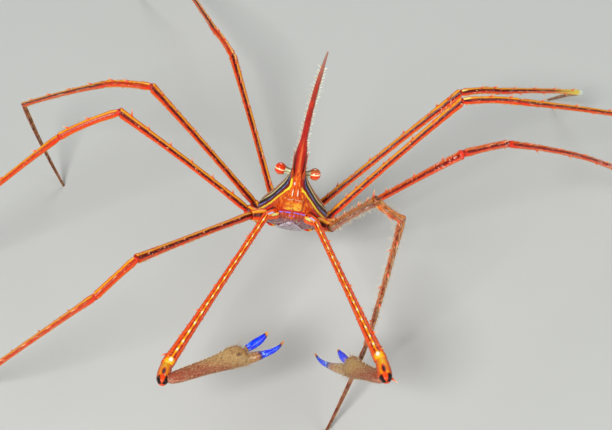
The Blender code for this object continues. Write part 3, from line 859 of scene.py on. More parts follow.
def smooth_value(table: Table, at: float, column: int = 1) -> float:
    """Read a table along a smooth curve through its rows.

    Args:
        table: rows that begin with their place.
        at: the place to read, held within the table.
        column: which value of the row.

    Returns:
        The value there.
    """
    at = min(max(at, table[0][0]), table[-1][0])
    last = len(table) - 2
    row = next((i for i in range(last + 1) if at <= table[i + 1][0]), last)
    points = [table[max(row - 1, 0)], table[row], table[row + 1], table[min(row + 2, last + 1)]]
    x = [p[0] for p in points]
    y = [p[min(column, len(p) - 1)] for p in points]
    span = x[2] - x[1]
    rise_in = (y[2] - y[0]) / (x[2] - x[0])
    rise_out = (y[3] - y[1]) / (x[3] - x[1])
    s = (at - x[1]) / span
    return (
        (2 * s**3 - 3 * s**2 + 1) * y[1]
        + (s**3 - 2 * s**2 + s) * span * rise_in
        + (3 * s**2 - 2 * s**3) * y[2]
        + (s**3 - s**2) * span * rise_out
    )


def ease(value: float, low: float, high: float) -> float:
    """0 at the low value and 1 at the high one, smooth between."""
    share = min(max((value - low) / (high - low), 0.0), 1.0)
    return share * share * (3.0 - 2.0 * share)


def swell(value: float, centre: float, width: float) -> float:
    """1 at the centre, falling off as a bell of that width."""
    return math.exp(-(((value - centre) / width) ** 2))


def frame_along(start: Vector, direction: Vector, side_hint: Vector) -> Matrix:
    """Frame of something that points along a direction.

    Args:
        start: its origin.
        direction: the way of its +Z.
        side_hint: what its +X lies nearest to.

    Returns:
        The matrix.
    """
    along = direction.normalized()
    across = (side_hint - along * side_hint.dot(along)).normalized()
    turn = Matrix((across, along.cross(across), along)).transposed().to_4x4()
    return Matrix.Translation(start) @ turn


def swept(stations: Sequence[float], sides: int, place: Place, mark: Mark) -> bmesh.types.BMesh:
    """Sweep a ring through a row of stations and close both ends.

    Args:
        stations: the places of the rings, in order.
        sides: points in each ring.
        place: point in millimetres for a turn in radians and a station.
        mark: values of "skin" and "share" for a turn and a station.

    Returns:
        A closed bmesh in millimetres.
    """
    bm = bmesh.new()
    turn_of = bm.verts.layers.float.new("turn")
    skin = bm.verts.layers.float_vector.new("skin")
    share = bm.verts.layers.float.new("share")
    ring = bmesh.ops.create_circle(bm, segments=sides, radius=1.0)["verts"]
    for number, vert in enumerate(ring):
        vert[turn_of] = 2.0 * math.pi * number / sides
    edges = list(bm.edges)
    bmesh.ops.contextual_create(bm, geom=edges)
    for number, station in enumerate(stations):
        if number:
            grown = bmesh.ops.extrude_edge_only(bm, edges=edges)["geom"]
            ring = [item for item in grown if isinstance(item, bmesh.types.BMVert)]
            edges = [item for item in grown if isinstance(item, bmesh.types.BMEdge)]
        for vert in ring:
            turn = vert[turn_of]
            vert.co = place(turn, station)
            vert[skin], vert[share] = mark(turn, station)
    bmesh.ops.contextual_create(bm, geom=edges)
    bmesh.ops.recalc_face_normals(bm, faces=bm.faces)
    return bm


def ring_mark(length: float, turn: float, share: float) -> Skin:
    """Turn as a pair, millimetres along a piece of that length, and share."""
    return (math.cos(turn), math.sin(turn), share * length), share


def finish_piece(
    name: str,
    bm: bmesh.types.BMesh,
    finish: Finish,
    slot: str,
    nodes: Sequence[str] = (),
    sharp: float = 50.0,
) -> bpy.types.Object:
    """Turn a bmesh in millimetres into a finished piece that rides on the crab.

    Args:
        name: the piece's name.
        bm: its shape, which is freed.
        finish: its surface.
        slot: the record's material slot; not used.
        nodes: the CAD nodes that it stands for.
        sharp: the edge angle, in degrees, past which shading breaks.

    Returns:
        The object.
    """
    bmesh.ops.scale(bm, vec=(MM, MM, MM), verts=bm.verts)
    mesh = bpy.data.meshes.new(name)
    bm.to_mesh(mesh)
    bm.free()
    mesh.shade_smooth()
    mesh.set_sharp_from_angle(angle=math.radians(sharp))
    mesh.materials.append(finish.material())
    obj = bpy.data.objects.new(name, mesh)
    bpy.context.scene.collection.objects.link(obj)
    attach(obj, "root")
    if nodes:
        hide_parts(*nodes)
    LOG.info("%s: %d faces, %s", name, len(mesh.polygons), finish.name)
    return obj


@dataclass(frozen=True)
class Thorn:
    """A small hooked cone that is copied many times, one unit long and one unit thick."""

    sides: int = 7
    rings: int = 3
    hook: float = 0.12
    tip: float = 0.12
    # How far the hook bends the tip, and the width of a copy's patch on the bake's unwrap.
    bend: float = 2.5
    patch: float = 0.003

    def template(self) -> bpy.types.Mesh:
        """Make the cone along +Z, bent towards +X.

        Returns:
            Its mesh, with the share from root to tip and a small bake patch.
        """
        bm = bmesh.new()
        share = bm.verts.layers.float.new("share")
        bmesh.ops.create_cone(
            bm, cap_ends=True, segments=self.sides, radius1=1.0, radius2=self.tip, depth=1.0,
            matrix=Matrix.Translation((0, 0, 0.5)),
        )
        if self.rings:
            long_edges = [e for e in bm.edges if abs(e.verts[0].co.z - e.verts[1].co.z) > 0.5]
            bmesh.ops.subdivide_edges(bm, edges=long_edges, cuts=self.rings)
        bake = bm.loops.layers.uv.new("OFBake")
        for vert in bm.verts:
            height = vert.co.z
            vert[share] = height
            turn = math.atan2(vert.co.y, vert.co.x) / (2 * math.pi)
            for loop in vert.link_loops:
                loop[bake].uv = (turn * self.patch, (height - 0.5) * self.patch)
            vert.co.x += self.hook * height**2 * self.bend
        mesh = bpy.data.meshes.new("thorn")
        bm.to_mesh(mesh)
        bm.free()
        return mesh


# Nothing that grows on the crab reaches lower than this over the floor, in millimetres.
FLOOR_CLEARANCE = 0.15


def unwrap_place(turn: float, along: float) -> tuple[float, float]:
    """Where a root at a turn in radians and a share of the length lies on an unwrap."""
    return turn / (2 * math.pi) % 1.0, along


@dataclass
class Coat:
    """Many placed copies of one small shape, joined into one piece."""

    shape: Thorn
    frames: list[Matrix] = field(default_factory=list)
    roots: list[tuple[float, float]] = field(default_factory=list)

    def add(
        self, foot: Vector, axis: Vector, bend: Vector, length: float, radius: float,
        root: tuple[float, float] = (0.5, 0.5),
    ) -> None:
        """Place a copy, unless it would reach into the floor.

        Args:
            foot: where its root lies, in millimetres.
            axis: the way it points.
            bend: the side that it hooks towards.
            length: its length in millimetres.
            radius: its radius at the root.
            root: the place of its root on an unwrap of what it grows from.
        """
        if (foot + axis.normalized() * length).z < FLOOR_CLEARANCE:
            return
        size = Matrix.Diagonal((radius, radius, length, 1.0))
        self.frames.append(frame_along(foot, axis, bend) @ size)
        self.roots.append(root)

    def piece(self, name: str, finish: Finish, slot: str) -> None:
        """Join the copies into a piece, each with its bake patch at its root's place.

        Args:
            name: the piece's name.
            finish: its surface.
            slot: the record's material slot.
        """
        if not self.frames:
            return
        template = self.shape.template()
        points = np.zeros(len(template.vertices) * 3, np.float32)
        template.vertices.foreach_get("co", points)
        patch = np.zeros(len(template.loops) * 2, np.float32)
        template.uv_layers["OFBake"].data.foreach_get("uv", patch)
        bm = bmesh.new()
        for frame, root in zip(self.frames, self.roots):
            template.vertices.foreach_set("co", points)
            template.transform(frame)
            moved = patch + np.tile(root, len(patch) // 2)
            template.uv_layers["OFBake"].data.foreach_set("uv", moved)
            bm.from_mesh(template)
        bpy.data.meshes.remove(template)
        finish_piece(name, bm, finish, slot, sharp=80.0)


# ---------------------------------------------------------------- stance


@dataclass(frozen=True)
class Stance:
    """Place and turn of the body. A pitch of 90 would point the rostrum straight up."""

    pitch: float = 81.0
    lean: float = 6.0
    turn: float = -6.0
    hub: tuple[float, float, float] = (-0.95, -19.35, 21.0)

    def frame(self) -> Matrix:
        """Matrix of the body: local +X is its left, -Y forward and +Z its back."""
        angles = (math.radians(-self.pitch), math.radians(self.lean), math.radians(self.turn))
        return Matrix.Translation(self.hub) @ Euler(angles, "XYZ").to_matrix().to_4x4()

    def point(self, place: Sequence[float], side: Side = Side.LEFT) -> Vector:
        """Point for a place given as left, forward and up on the body."""
        left, forward, up = place
        return self.frame() @ Vector((side.value * left, -forward, up))

    def way(self, place: Sequence[float], side: Side = Side.LEFT) -> Vector:
        """Direction for one given as left, forward and up on the body."""
        return self.point(place, side) - self.point((0, 0, 0))


STANCE = Stance()


def heading(bearing: float, slope: float) -> Vector:
    """Turn a bearing and a slope to a direction.

    Args:
        bearing: degrees from +X towards +Y.
        slope: degrees above the floor.

    Returns:
        The unit vector.
    """
    flat = math.cos(math.radians(slope))
    turn = math.radians(bearing)
    return Vector((flat * math.cos(turn), flat * math.sin(turn), math.sin(math.radians(slope))))


# ---------------------------------------------------------------- body


@dataclass
class BodyShell:
    """Carapace with its rostrum, and the thorax under it."""

    # Forward of the hub, half width, top and bottom of each section.
    sections: Table = (
        (-8.8, 1.9, 3.4, 1.4), (-8.0, 3.6, 4.4, 0.6), (-6.4, 5.0, 4.9, -0.4),
        (-4.0, 6.0, 5.0, -1.9), (-1.5, 6.1, 4.7, -3.2), (1.2, 5.2, 4.1, -3.9),
        (3.8, 4.1, 3.4, -4.0), (6.3, 3.0, 2.7, -3.4), (8.6, 2.1, 2.1, -2.4),
        (10.6, 1.5, 1.6, -1.5), (12.4, 1.2, 1.3, -1.0), (13.6, 1.1, 1.2, -0.8),
    )
    back_narrowing: float = 0.18
    back_power: float = 2.1
    belly_power: float = 2.7
    # Where the carapace ends below, the gap to the thorax there, and the step inside its rim.
    edge_height: float = -1.5
    edge_slope: float = -0.06
    seam: float = 0.12
    rim_width: float = 0.12
    rim_depth: float = 0.10
    # How far the rear end is rounded off.
    rear_cap: float = 0.165
    rostrum_start: float = 13.9
    rostrum_tip: float = 45.5
    rostrum_bend: float = 1.6
    rostrum_height: float = 0.2
    rostrum_sections: Table = (
        (0.0, 1.15, 1.0), (0.08, 1.05, 0.85), (0.16, 0.82, 0.70), (0.24, 0.57, 0.55),
        (0.4, 0.5, 0.48), (0.6, 0.42, 0.42), (0.8, 0.34, 0.34), (1.0, 0.14, 0.14),
    )
    sides: int = 112
    body_rings: int = 120
    rostrum_rings: int = 64
    hooks_per_side: int = 34
    tufts_per_hook: int = 2
    # Where the yellow and the pale line lie: forward of the hub, and degrees above the side.
    yellow_line: Table = (
        (-8.8, -12.0), (-3.0, -11.0), (0.0, -15.0), (4.0, -19.0), (6.4, -25.0), (8.3, -42.0),
        (9.6, -60.0), (11.2, -52.0), (13.6, -50.0),
    )
    pale_line: Table = ((-8.8, 8.0), (-2.6, 6.0), (3.4, 1.0), (7.0, 1.0), (9.0, -2.0), (13.6, -4.0))
    # Sutures between the plates of the sternum, forward of the hub.
    sutures: tuple[float, ...] = (4.05, 2.1, -0.5, -3.1, -5.4)

    def rostrum_share(self, forward: float) -> float:
        """How far along the rostrum a place is, 0 at its base."""
        return max(0.0, (forward - self.rostrum_start) / (self.rostrum_tip - self.rostrum_start))

    def section(self, forward: float) -> tuple[float, float, float]:
        """Read the outline at a place.

        Args:
            forward: place forward of the hub.

        Returns:
            Half width, top and bottom.
        """
        if forward <= self.sections[-1][0]:
            return tuple(smooth_value(self.sections, forward, i) for i in (1, 2, 3))
        share = self.rostrum_share(forward)
        height = smooth_value(self.rostrum_sections, share, 2)
        return (
            smooth_value(self.rostrum_sections, share, 1),
            self.rostrum_height + height,
            self.rostrum_height - height,
        )

    def sculpt(self, forward: float, angle: float) -> float:
        """Height of the swellings and furrows over the plain form, in millimetres.

        Args:
            forward: place forward of the hub.
            angle: angle above the side, in radians.

        Returns:
            The height, which is below 0 in a furrow.
        """
        side = math.degrees(angle)
        height = 0.0
        if side > 0:
            neck = 0.9 + 0.035 * abs(90.0 - side)
            height -= 0.20 * swell(forward, neck, 0.55) * ease(side, 5.0, 30.0)
            height += 0.22 * swell(forward, -3.2, 2.4) * swell(side, 42.0, 20.0)
            height += 0.18 * swell(forward, 4.2, 2.0) * swell(side, 90.0, 26.0)
            height += 0.16 * swell(forward, -4.4, 1.6) * swell(side, 90.0, 22.0)
            height -= 0.14 * swell(side, 66.0, 6.0) * ease(-forward, -0.5, 1.5)
        else:
            sutures = sum(0.16 * swell(forward, suture, 0.14) for suture in self.sutures)
            height -= sutures * ease(-side, 20.0, 40.0)
            height -= 0.16 * swell(side, -44.0, 3.0) * ease(-forward, -5.5, -3.5)
            height += 0.10 * swell(forward, 7.9, 0.35) * ease(-side, 30.0, 60.0)
            height -= 0.10 * swell(side, -68.0, 5.0) * swell(forward, 10.0, 1.6)
        yellow = smooth_value(self.yellow_line, forward)
        height += 0.07 * swell(side, yellow, 4.0) * ease(forward, -7.0, -3.0)
        return height * (1.0 - ease(forward, 9.5, 13.0))

    def surface(self, turn: float, forward: float, grown: float = 0.0) -> Vector:
        """Point on the body.

        Args:
            turn: angle from its left side over its back, in radians.
            forward: place forward of the hub.
            grown: millimetres above the surface.

        Returns:
            The point in the row's frame, in millimetres.
        """
        half_width, top, bottom = self.section(forward)
        middle, half_height = (top + bottom) / 2, (top - bottom) / 2
        across, up = math.cos(turn), math.sin(turn)
        share = self.rostrum_share(forward)
        thin = min(math.sqrt(share), 1.0)
        power = self.back_power if up > 0 else self.belly_power
        power += (2.0 - power) * min(thin * 2.0, 1.0)
        x = math.copysign(abs(across) ** (2 / power), across)
        z = math.copysign(abs(up) ** (2 / power), up)
        raised = self.sculpt(forward, math.asin(max(-1.0, min(1.0, up)))) + grown
        x *= (1.0 - self.back_narrowing * max(0.0, z) * (1.0 - thin)) * half_width
        z *= half_height
        out = Vector((x / max(half_width, 0.1), 0.0, z / max(half_height, 0.1)))
        out = out.normalized() * raised if out.length else out
        shift = self.rostrum_bend * share**2
        return STANCE.frame() @ Vector((x + out.x + shift, -forward, middle + z + out.z))

    def band(self, turn: float, forward: float) -> float:
        """Place across the lines.

        Args:
            turn: angle from the left side over the back, in radians.
            forward: place forward of the hub.

        Returns:
            0 and 1 on the yellow and the pale line, 2 on the back, -1 from 3 mm below the yellow.
        """
        angle = math.degrees(math.asin(max(-1.0, min(1.0, math.sin(turn)))))
        yellow = smooth_value(self.yellow_line, forward)
        pale = smooth_value(self.pale_line, forward)
        if angle < yellow:
            return max(-1.0, -math.radians(yellow - angle) * self.section(forward)[0] / 3.0)
        if angle < pale:
            return (angle - yellow) / (pale - yellow)
        return 1.0 + (angle - pale) / (90.0 - pale)

    def mark(self, turn: float, forward: float) -> Skin:
        """Values that the finish reads.

        Args:
            turn: angle from the left side over the back, in radians.
            forward: place forward of the hub.

        Returns:
            Place on the body, left, forward and up in millimetres, and the place across the lines.
        """
        half_width, top, bottom = self.section(forward)
        across = math.cos(turn)
        power = self.back_power if math.sin(turn) > 0 else self.belly_power
        left = half_width * math.copysign(abs(across) ** (2 / power), across)
        up = (top + bottom) / 2 + (top - bottom) / 2 * math.sin(turn)
        return (left, forward, up), self.band(turn, forward)

    def stations(self) -> list[float]:
        """Places of the rings, closer on the body than on the rostrum.

        Returns:
            Millimetres forward of the hub. The last one closes the tip.
        """
        first, last = self.sections[0][0], self.sections[-1][0]
        rings = [first + (last - first) * (i / self.body_rings) for i in range(self.body_rings + 1)]
        rings[0:1] = [first - 0.16, first - 0.13, first - 0.06, first + 0.02]
        length, count = self.rostrum_tip - last, self.rostrum_rings
        rings += [last + length * (i / count) for i in range(1, count + 1)]
        return rings + [self.rostrum_tip + 0.05]

    def whole(self) -> bmesh.types.BMesh:
        """Make the body and the rostrum as one skin, rounded off at the rear.

        Returns:
            The closed skin.
        """
        first = self.sections[0][0]
        height = (self.sections[0][2] + self.sections[0][3]) / 2

        def place(turn: float, forward: float) -> Vector:
            """Point of the skin, which closes behind the body and at the rostrum's tip.

            Args:
                turn: angle from the left side over the back, in radians.
                forward: millimetres forward of the hub.

            Returns:
                The point in millimetres.
            """
            if forward > self.rostrum_tip:
                return self.surface(turn, self.rostrum_tip, -0.1)
            if forward >= first:
                return self.surface(turn, forward)
            shrink = math.sqrt(max(0.0, 1.0 - ((first - forward) / self.rear_cap) ** 2))
            rear = self.surface(turn, first) - STANCE.point((0, first, height))
            return STANCE.point((0, forward, height)) + rear * shrink

        return swept(self.stations(), self.sides, place, self.mark)

    def part(self, above: bool) -> bmesh.types.BMesh:
        """Cut the skin along the carapace's lower edge.

        Args:
            above: whether the part above the edge is wanted, or the one below it.

        Returns:
            That part, closed and with a stepped rim.
        """
        frame = STANCE.frame()
        edge = frame @ Vector((0, 0, self.edge_height))
        normal = (frame.to_3x3() @ Vector((0, self.edge_slope, 1))).normalized()
        way = 1.0 if above else -1.0
        bm = self.whole()
        cut = bmesh.ops.bisect_plane(
            bm,
            geom=bm.verts[:] + bm.edges[:] + bm.faces[:],
            dist=1e-5,
            plane_co=edge + normal * way * self.seam / 2,
            plane_no=-normal * way,
            clear_outer=True,
        )
        rim = [item for item in cut["geom_cut"] if isinstance(item, bmesh.types.BMEdge)]
        closed = bmesh.ops.contextual_create(bm, geom=rim)["faces"]
        bmesh.ops.inset_region(bm, faces=closed, thickness=self.rim_width, depth=self.rim_depth)
        bmesh.ops.recalc_face_normals(bm, faces=bm.faces)
        return bm

    def build(self) -> None:
        """Make the carapace with the rostrum, and the thorax."""
        nodes = ("carapace", "rostrum")
        finish_piece("carapace_shell", self.part(True), CARAPACE, "carapace_shell", nodes, 42.0)
        finish_piece("thorax_shell", self.part(False), BELLY, "belly_shell", ("thorax",), 42.0)
        self.hooks()

    def hooks(self) -> None:
        """Two rows of forward hooks on the rostrum's edges, and its pale tufts."""
        chance = random.Random(5)
        hooks = Coat(Thorn(sides=6, hook=0.10))
        tufts = Coat(Thorn(sides=3, rings=1, hook=0.3, tip=0.3))
        ahead = STANCE.way((0, 1, 0))
        for side in Side:
            for i in range(self.hooks_per_side):
                staggered = i + (0.25 if side is Side.LEFT else 0.6)
                share = -0.05 + 0.93 * staggered / self.hooks_per_side
                forward = self.rostrum_start + share * (self.rostrum_tip - self.rostrum_start)
                turn = (0.0 if side is Side.LEFT else math.pi) + chance.uniform(-0.18, 0.18)
                foot = self.surface(turn, forward, -0.2)
                out = (self.surface(turn, forward) - foot).normalized()
                axis = out * 0.75 + ahead * chance.uniform(0.55, 0.85)
                long = (0.78 if i % 3 else 1.0) + chance.uniform(-0.1, 0.12)
                root = unwrap_place(turn, 0.3 + 0.7 * max(share, 0.0))
                hooks.add(foot, axis, ahead, long, 0.19, root)
                for _ in range(self.tufts_per_hook):
                    at = forward + chance.uniform(-0.6, 0.6)
                    foot = self.surface(turn + chance.uniform(-0.5, 0.5), at, -0.03)
                    lean = out + ahead * chance.uniform(0.2, 1.0)
                    length = chance.uniform(0.35, 0.8) * (1.6 if 0.62 < share < 0.72 else 1.0)
                    root = unwrap_place(turn, 0.3 + 0.6 * share)
                    tufts.add(foot, lean, ahead, length, 0.028, root)
        hooks.piece("rostrum_hooks", EDGE_HOOK, "rostrum_shell")
        tufts.piece("rostrum_setae", SETA, "rostrum_shell")


# ---------------------------------------------------------------- limbs


@dataclass(frozen=True)
class ThornRow:
    """A row of spines: angle round the segment, first and last place, how many, and their size."""

    angle: float
    first: float
    last: float
    count: int
    size: float


@dataclass(frozen=True)
class SegmentShape:
    """Thickness of one kind of limb segment along its length, and what grows on it."""

    radii: Table
    rows: tuple[ThornRow, ...] = ()
    # Shares of the radius: how far the far rim swells, how far the three ridges rise, and the size
    # of the rounded root.
    collar: float = 0.05
    ridge: float = 0.035
    knob: float = 0.86
    # Millimetres that the middle bends upwards.
    bow: float = 0.0
    # How thickly hairs and spinules stand, and a hair's usual length in millimetres.
    setae: float = 0.0
    seta_length: float = 0.6
    spinules: float = 0.0


MERUS_ROWS = (
    ThornRow(92, 0.13, 0.80, 5, 1.0),
    ThornRow(28, 0.20, 0.86, 4, 0.85),
    ThornRow(90, 0.93, 0.93, 1, 1.5),
)
CARPUS_ROWS = (ThornRow(90, 0.45, 0.45, 1, 0.9), ThornRow(90, 0.80, 0.80, 1, 1.1))
PROPODUS_ROWS = (ThornRow(90, 0.14, 0.86, 4, 0.8), ThornRow(205, 0.22, 0.78, 3, 0.7))
ARM_ROWS = (
    ThornRow(70, 0.15, 0.82, 5, 0.75),
    ThornRow(150, 0.22, 0.88, 5, 0.75),
    ThornRow(90, 0.94, 0.94, 1, 1.2),
)
HIP = SegmentShape(((0.0, 1.15), (0.45, 1.12), (0.8, 0.86), (1.0, 0.88)))
MERUS = SegmentShape(
    ((0.0, 0.70), (0.06, 0.72), (0.2, 0.62), (0.65, 0.62), (0.92, 0.74), (1.0, 0.80)),
    MERUS_ROWS, bow=0.25, setae=1.0, spinules=1.0,
)
CARPUS = SegmentShape(
    ((0.0, 0.66), (0.1, 0.72), (0.3, 0.64), (0.8, 0.64), (1.0, 0.66)),
    CARPUS_ROWS, bow=0.40, setae=1.2, spinules=1.6,
)
PROPODUS = SegmentShape(
    ((0.0, 0.62), (0.05, 0.64), (0.2, 0.53), (0.8, 0.46), (0.95, 0.50), (1.0, 0.48)),
    PROPODUS_ROWS, bow=0.30, setae=2.2, spinules=0.8,
)
# The left third leg's propodus is bent upwards.
BENT_PROPODUS = replace(PROPODUS, bow=1.3)
# The tan left second leg is the hairiest.
HAIRY_MERUS = replace(MERUS, setae=4.0, seta_length=0.7)
HAIRY_CARPUS = replace(CARPUS, setae=5.0, seta_length=0.7)
HAIRY_PROPODUS = replace(PROPODUS, setae=6.0, seta_length=0.8, bow=0.4)
DACTYL = SegmentShape(
    ((0.0, 0.42), (0.1, 0.45), (0.4, 0.38), (0.8, 0.29), (1.0, 0.23)),
    bow=0.5, setae=4.0, seta_length=0.5,
)
ARM_HIP = SegmentShape(((0.0, 1.0), (0.5, 0.88), (0.85, 0.72), (1.0, 0.70)))
ARM_MERUS = SegmentShape(
    (
        (0.0, 0.64), (0.1, 0.60), (0.45, 0.64), (0.72, 0.78), (0.85, 0.90), (0.93, 1.0),
        (0.975, 1.08), (1.0, 1.02),
    ),
    ARM_ROWS, collar=0.0, setae=1.2, seta_length=0.4, spinules=2.4, knob=1.0,
)
ARM_CARPUS = SegmentShape(
    ((0.0, 0.98), (0.25, 1.08), (0.65, 1.12), (0.85, 1.0), (1.0, 0.78)),
    (ThornRow(0, 0.86, 0.86, 1, 1.1),),
    ridge=0.0, setae=1.0, seta_length=0.4, spinules=1.5, knob=1.0,
)


# The solids' spines are set with this seed too.
SPINE_SEED = 11
# Angles in degrees, round a segment from its hinge's side, of the loose rows of spinules and hairs,
# and how many stand on a millimetre where the shape says 1.
SPINULE_ROWS, SPINULES_PER_MM = (30, 92, 150, 210, 270, 330), 1.6
SETA_ROWS, SETAE_PER_MM = (35, 90, 150, 215, 270, 320), 2.2


@dataclass
class LimbSegment:
    """One segment of a limb, from its joint with the last one to its joint with the next."""

    name: str
    shape: SegmentShape
    start: Vector
    end: Vector
    before: Optional[Vector]
    after: Optional[Vector]
    hinge: Vector
    finish: Finish
    slot: str
    sides: int = 24
    foot: bool = False
    # Height of a dome at the far end, as a share of its radius.
    dome_height: float = 0.7

    @property
    def along(self) -> Vector:
        """Unit vector from root to end."""
        return (self.end - self.start).normalized()

    @property
    def length(self) -> float:
        """Length between the joints, in millimetres."""
        return (self.end - self.start).length

    @property
    def domed(self) -> bool:
        """Whether the end is closed by a dome."""
        return self.after is None and not self.foot

    def axes(self) -> tuple[Vector, Vector]:
        """The side of the hinge, and the upper side."""
        across = (self.hinge - self.along * self.hinge.dot(self.along)).normalized()
        return across, self.along.cross(across)

    def outward(self, turn: float) -> Vector:
        """Unit vector out of the segment at a turn in radians from its hinge's side."""
        across, upper = self.axes()
        return across * math.cos(turn) + upper * math.sin(turn)

    def radius(self, station: float) -> float:
        """Read the radius, with the raised collar at the far end.

        Args:
            station: millimetres from the root's joint.

        Returns:
            The radius in millimetres.
        """
        radius = smooth_value(self.shape.radii, station / self.length)
        radius *= 1.0 + self.shape.collar * swell(station, self.length - 0.5, 0.45)
        if self.after is not None:
            radius *= 1.0 - 0.16 * ease(station, self.length - 0.35, self.length) ** 2
        return radius

    def knob(self) -> float:
        """Radius of the rounded root that sits in the last segment's socket."""
        return self.shape.knob * self.shape.radii[0][1]

    def stations(self) -> list[float]:
        """Places of the rings: the knob, the length, and the rim or the dome.

        Returns:
            Millimetres from the root's joint.
        """
        knob = self.knob()
        angles = (8, 30, 52, 72) if self.before is not None else ()
        rings = [-knob * math.cos(math.radians(angle)) for angle in angles]
        count = max(10, int(self.length / 0.9))
        far = self.length - (0.0 if self.foot or self.domed else 0.08)
        rings += [0.0, 0.18 * knob, 0.45 * knob]
        rings += [0.5 + (far - 0.9 - 0.5) * i / count for i in range(count + 1)]
        rings += [far - 0.7, far - 0.5, far - 0.32, far - 0.16, far - 0.05, far]
        if self.domed:
            dome = self.radius(self.length)
            rise = self.dome_height * dome
            rings += [far + rise * math.sin(math.radians(a)) for a in (15, 32, 50, 68, 84)]
        return rings

    def place(self, turn: float, station: float) -> Vector:
        """Point of the shell.

        Args:
            turn: angle from the hinge's side to the upper side, in radians.
            station: millimetres from the root's joint.

        Returns:
            The point in millimetres.
        """
        upper, out = self.axes()[1], self.outward(turn)
        inside = min(max(station, 0.0), self.length)
        if station < 0.0:
            radius = math.sqrt(max(self.knob() ** 2 - station**2, 0.0))
        elif station > self.length:
            dome = self.radius(self.length)
            rise = (station - self.length) / (self.dome_height * dome)
            radius = dome * math.sqrt(max(1.0 - rise**2, 0.0))
        else:
            radius = self.radius(inside)
            if self.before is not None:
                neck = ease(inside, 0.0, 1.0)
                radius = self.knob() * (1.0 - neck) + radius * neck
            ridges = math.cos(3.0 * (turn - math.pi / 2)) * ease(inside, 0.5, 2.5)
            radius *= 1.0 + self.shape.ridge * ridges
        share = inside / self.length
        bow = upper * self.shape.bow * 4.0 * share * (1.0 - share)
        point = self.start + self.along * station + bow + out * radius
        if self.after is not None:
            normal = (self.along + self.after).normalized()
            tilt = -(out * radius).dot(normal) / max(self.along.dot(normal), 0.6)
            tilt = min(tilt, 0.9 * radius)
            point += self.along * tilt * ease(station, self.length - 2.2, self.length)
        if self.foot:
            point.z = max(point.z, 0.0)
        return point

    def mark(self, turn: float, station: float) -> Skin:
        """Values that the finish reads.

        Args:
            turn: angle from the hinge's side to the upper side, in radians.
            station: millimetres from the root's joint.

        Returns:
            Turn from the striped side as a pair, millimetres along, and share of the length.
        """
        out = self.outward(turn)
        face = (STRIPE_FACES - self.along * STRIPE_FACES.dot(self.along)).normalized()
        gold = self.along.cross(face)
        if gold.z + 0.3 * gold.x < 0:
            gold = -gold
        return (out.dot(face), out.dot(gold), station), station / self.length

    def build(self, node: str) -> None:
        """Make the segment's shell, whose far end turns inwards as a lip before a socket.

        Args:
            node: the CAD node that it stands for.
        """
        bm = swept(self.stations(), self.sides, self.place, self.mark)
        if self.after is not None:
            caps = [face for face in bm.faces if len(face.verts) > 8]
            end = max(caps, key=lambda cap: (cap.calc_center_median() - self.start).dot(self.along))
            bmesh.ops.inset_region(bm, faces=[end], thickness=0.06, depth=-0.02)
            bmesh.ops.inset_region(bm, faces=[end], thickness=0.03, depth=-0.35)
        bmesh.ops.recalc_face_normals(bm, faces=bm.faces)
        finish_piece(f"{node}_shell", bm, self.finish, self.slot, (node,), 55.0)

    def grow_spines(self, spines: Coat) -> None:
        """Set the spines in rows, where the solids have them.

        Args:
            spines: where the spines are gathered.
        """
        chance = random.Random(SPINE_SEED)
        for row in self.shape.rows:
            for i in range(row.count):
                share = row.first + (row.last - row.first) * i / max(row.count - 1, 1)
                turn = math.radians(row.angle + chance.uniform(-7, 7))
                tilt = math.radians(38 + chance.uniform(-7, 7))
                reach = 0.95 * row.size * chance.uniform(0.85, 1.15)
                out = self.outward(turn)
                foot = self.place(turn, share * self.length) - out * 0.22
                axis = out * math.cos(tilt) + self.along * math.sin(tilt)
                spines.add(foot, axis, self.along, reach + 0.3, 0.24, unwrap_place(turn, share))

    def grow_spinules(self, spinules: Coat, chance: random.Random) -> None:
        """Set small pointed granules in loose rows along the segment's edges.

        Args:
            spinules: where the granules are gathered.
            chance: the limb's own random numbers.
        """
        for _ in range(int(self.shape.spinules * self.length * SPINULES_PER_MM)):
            share = chance.uniform(0.05, 0.96)
            turn = math.radians(chance.choice(SPINULE_ROWS) + chance.gauss(0, 7))
            out = self.outward(turn)
            foot = self.place(turn, share * self.length) - out * 0.05
            axis = out + self.along * chance.uniform(0.3, 0.9)
            length, radius = chance.uniform(0.2, 0.42), chance.uniform(0.06, 0.1)
            spinules.add(foot, axis, self.along, length, radius, unwrap_place(turn, share))

    def grow_setae(self, setae: Coat, chance: random.Random, floor: float, height: float) -> None:
        """Set fine hairs in loose rows on the segment.

        Args:
            setae: where the hairs are gathered.
            chance: the limb's own random numbers.
            floor: the segment's lower edge on the limb's unwrap.
            height: its height there.
        """
        for _ in range(int(self.shape.setae * self.length * SETAE_PER_MM)):
            share = chance.uniform(0.04, 0.97)
            turn = math.radians(chance.choice(SETA_ROWS) + chance.gauss(0, 12))
            out = self.outward(turn)
            foot = self.place(turn, share * self.length) - out * 0.03
            axis = out + self.along * chance.uniform(0.25, 0.9)
            length = self.shape.seta_length * chance.uniform(0.6, 1.5)
            root = unwrap_place(turn, floor + height * share)
            setae.add(foot, axis, self.along, length, 0.028, root)


# Where the hips start and end, left, forward and up on the body. Pair 1 is the chelipeds.
LIMB_ROOTS = {
    1: (2.9, 3.2, -3.8),
    2: (4.6, 0.8, -2.9),
    3: (5.1, -2.0, -2.1),
    4: (5.0, -4.8, -1.1),
    5: (3.3, -6.7, 0.6),
}
HIP_ENDS = {
    1: (4.4, 4.5, -5.3),
    2: (7.2, 1.4, -3.8),
    3: (8.2, -1.8, -0.6),
    4: (7.15, -4.6, 2.6),
    5: (3.1, -9.2, 4.7),
}

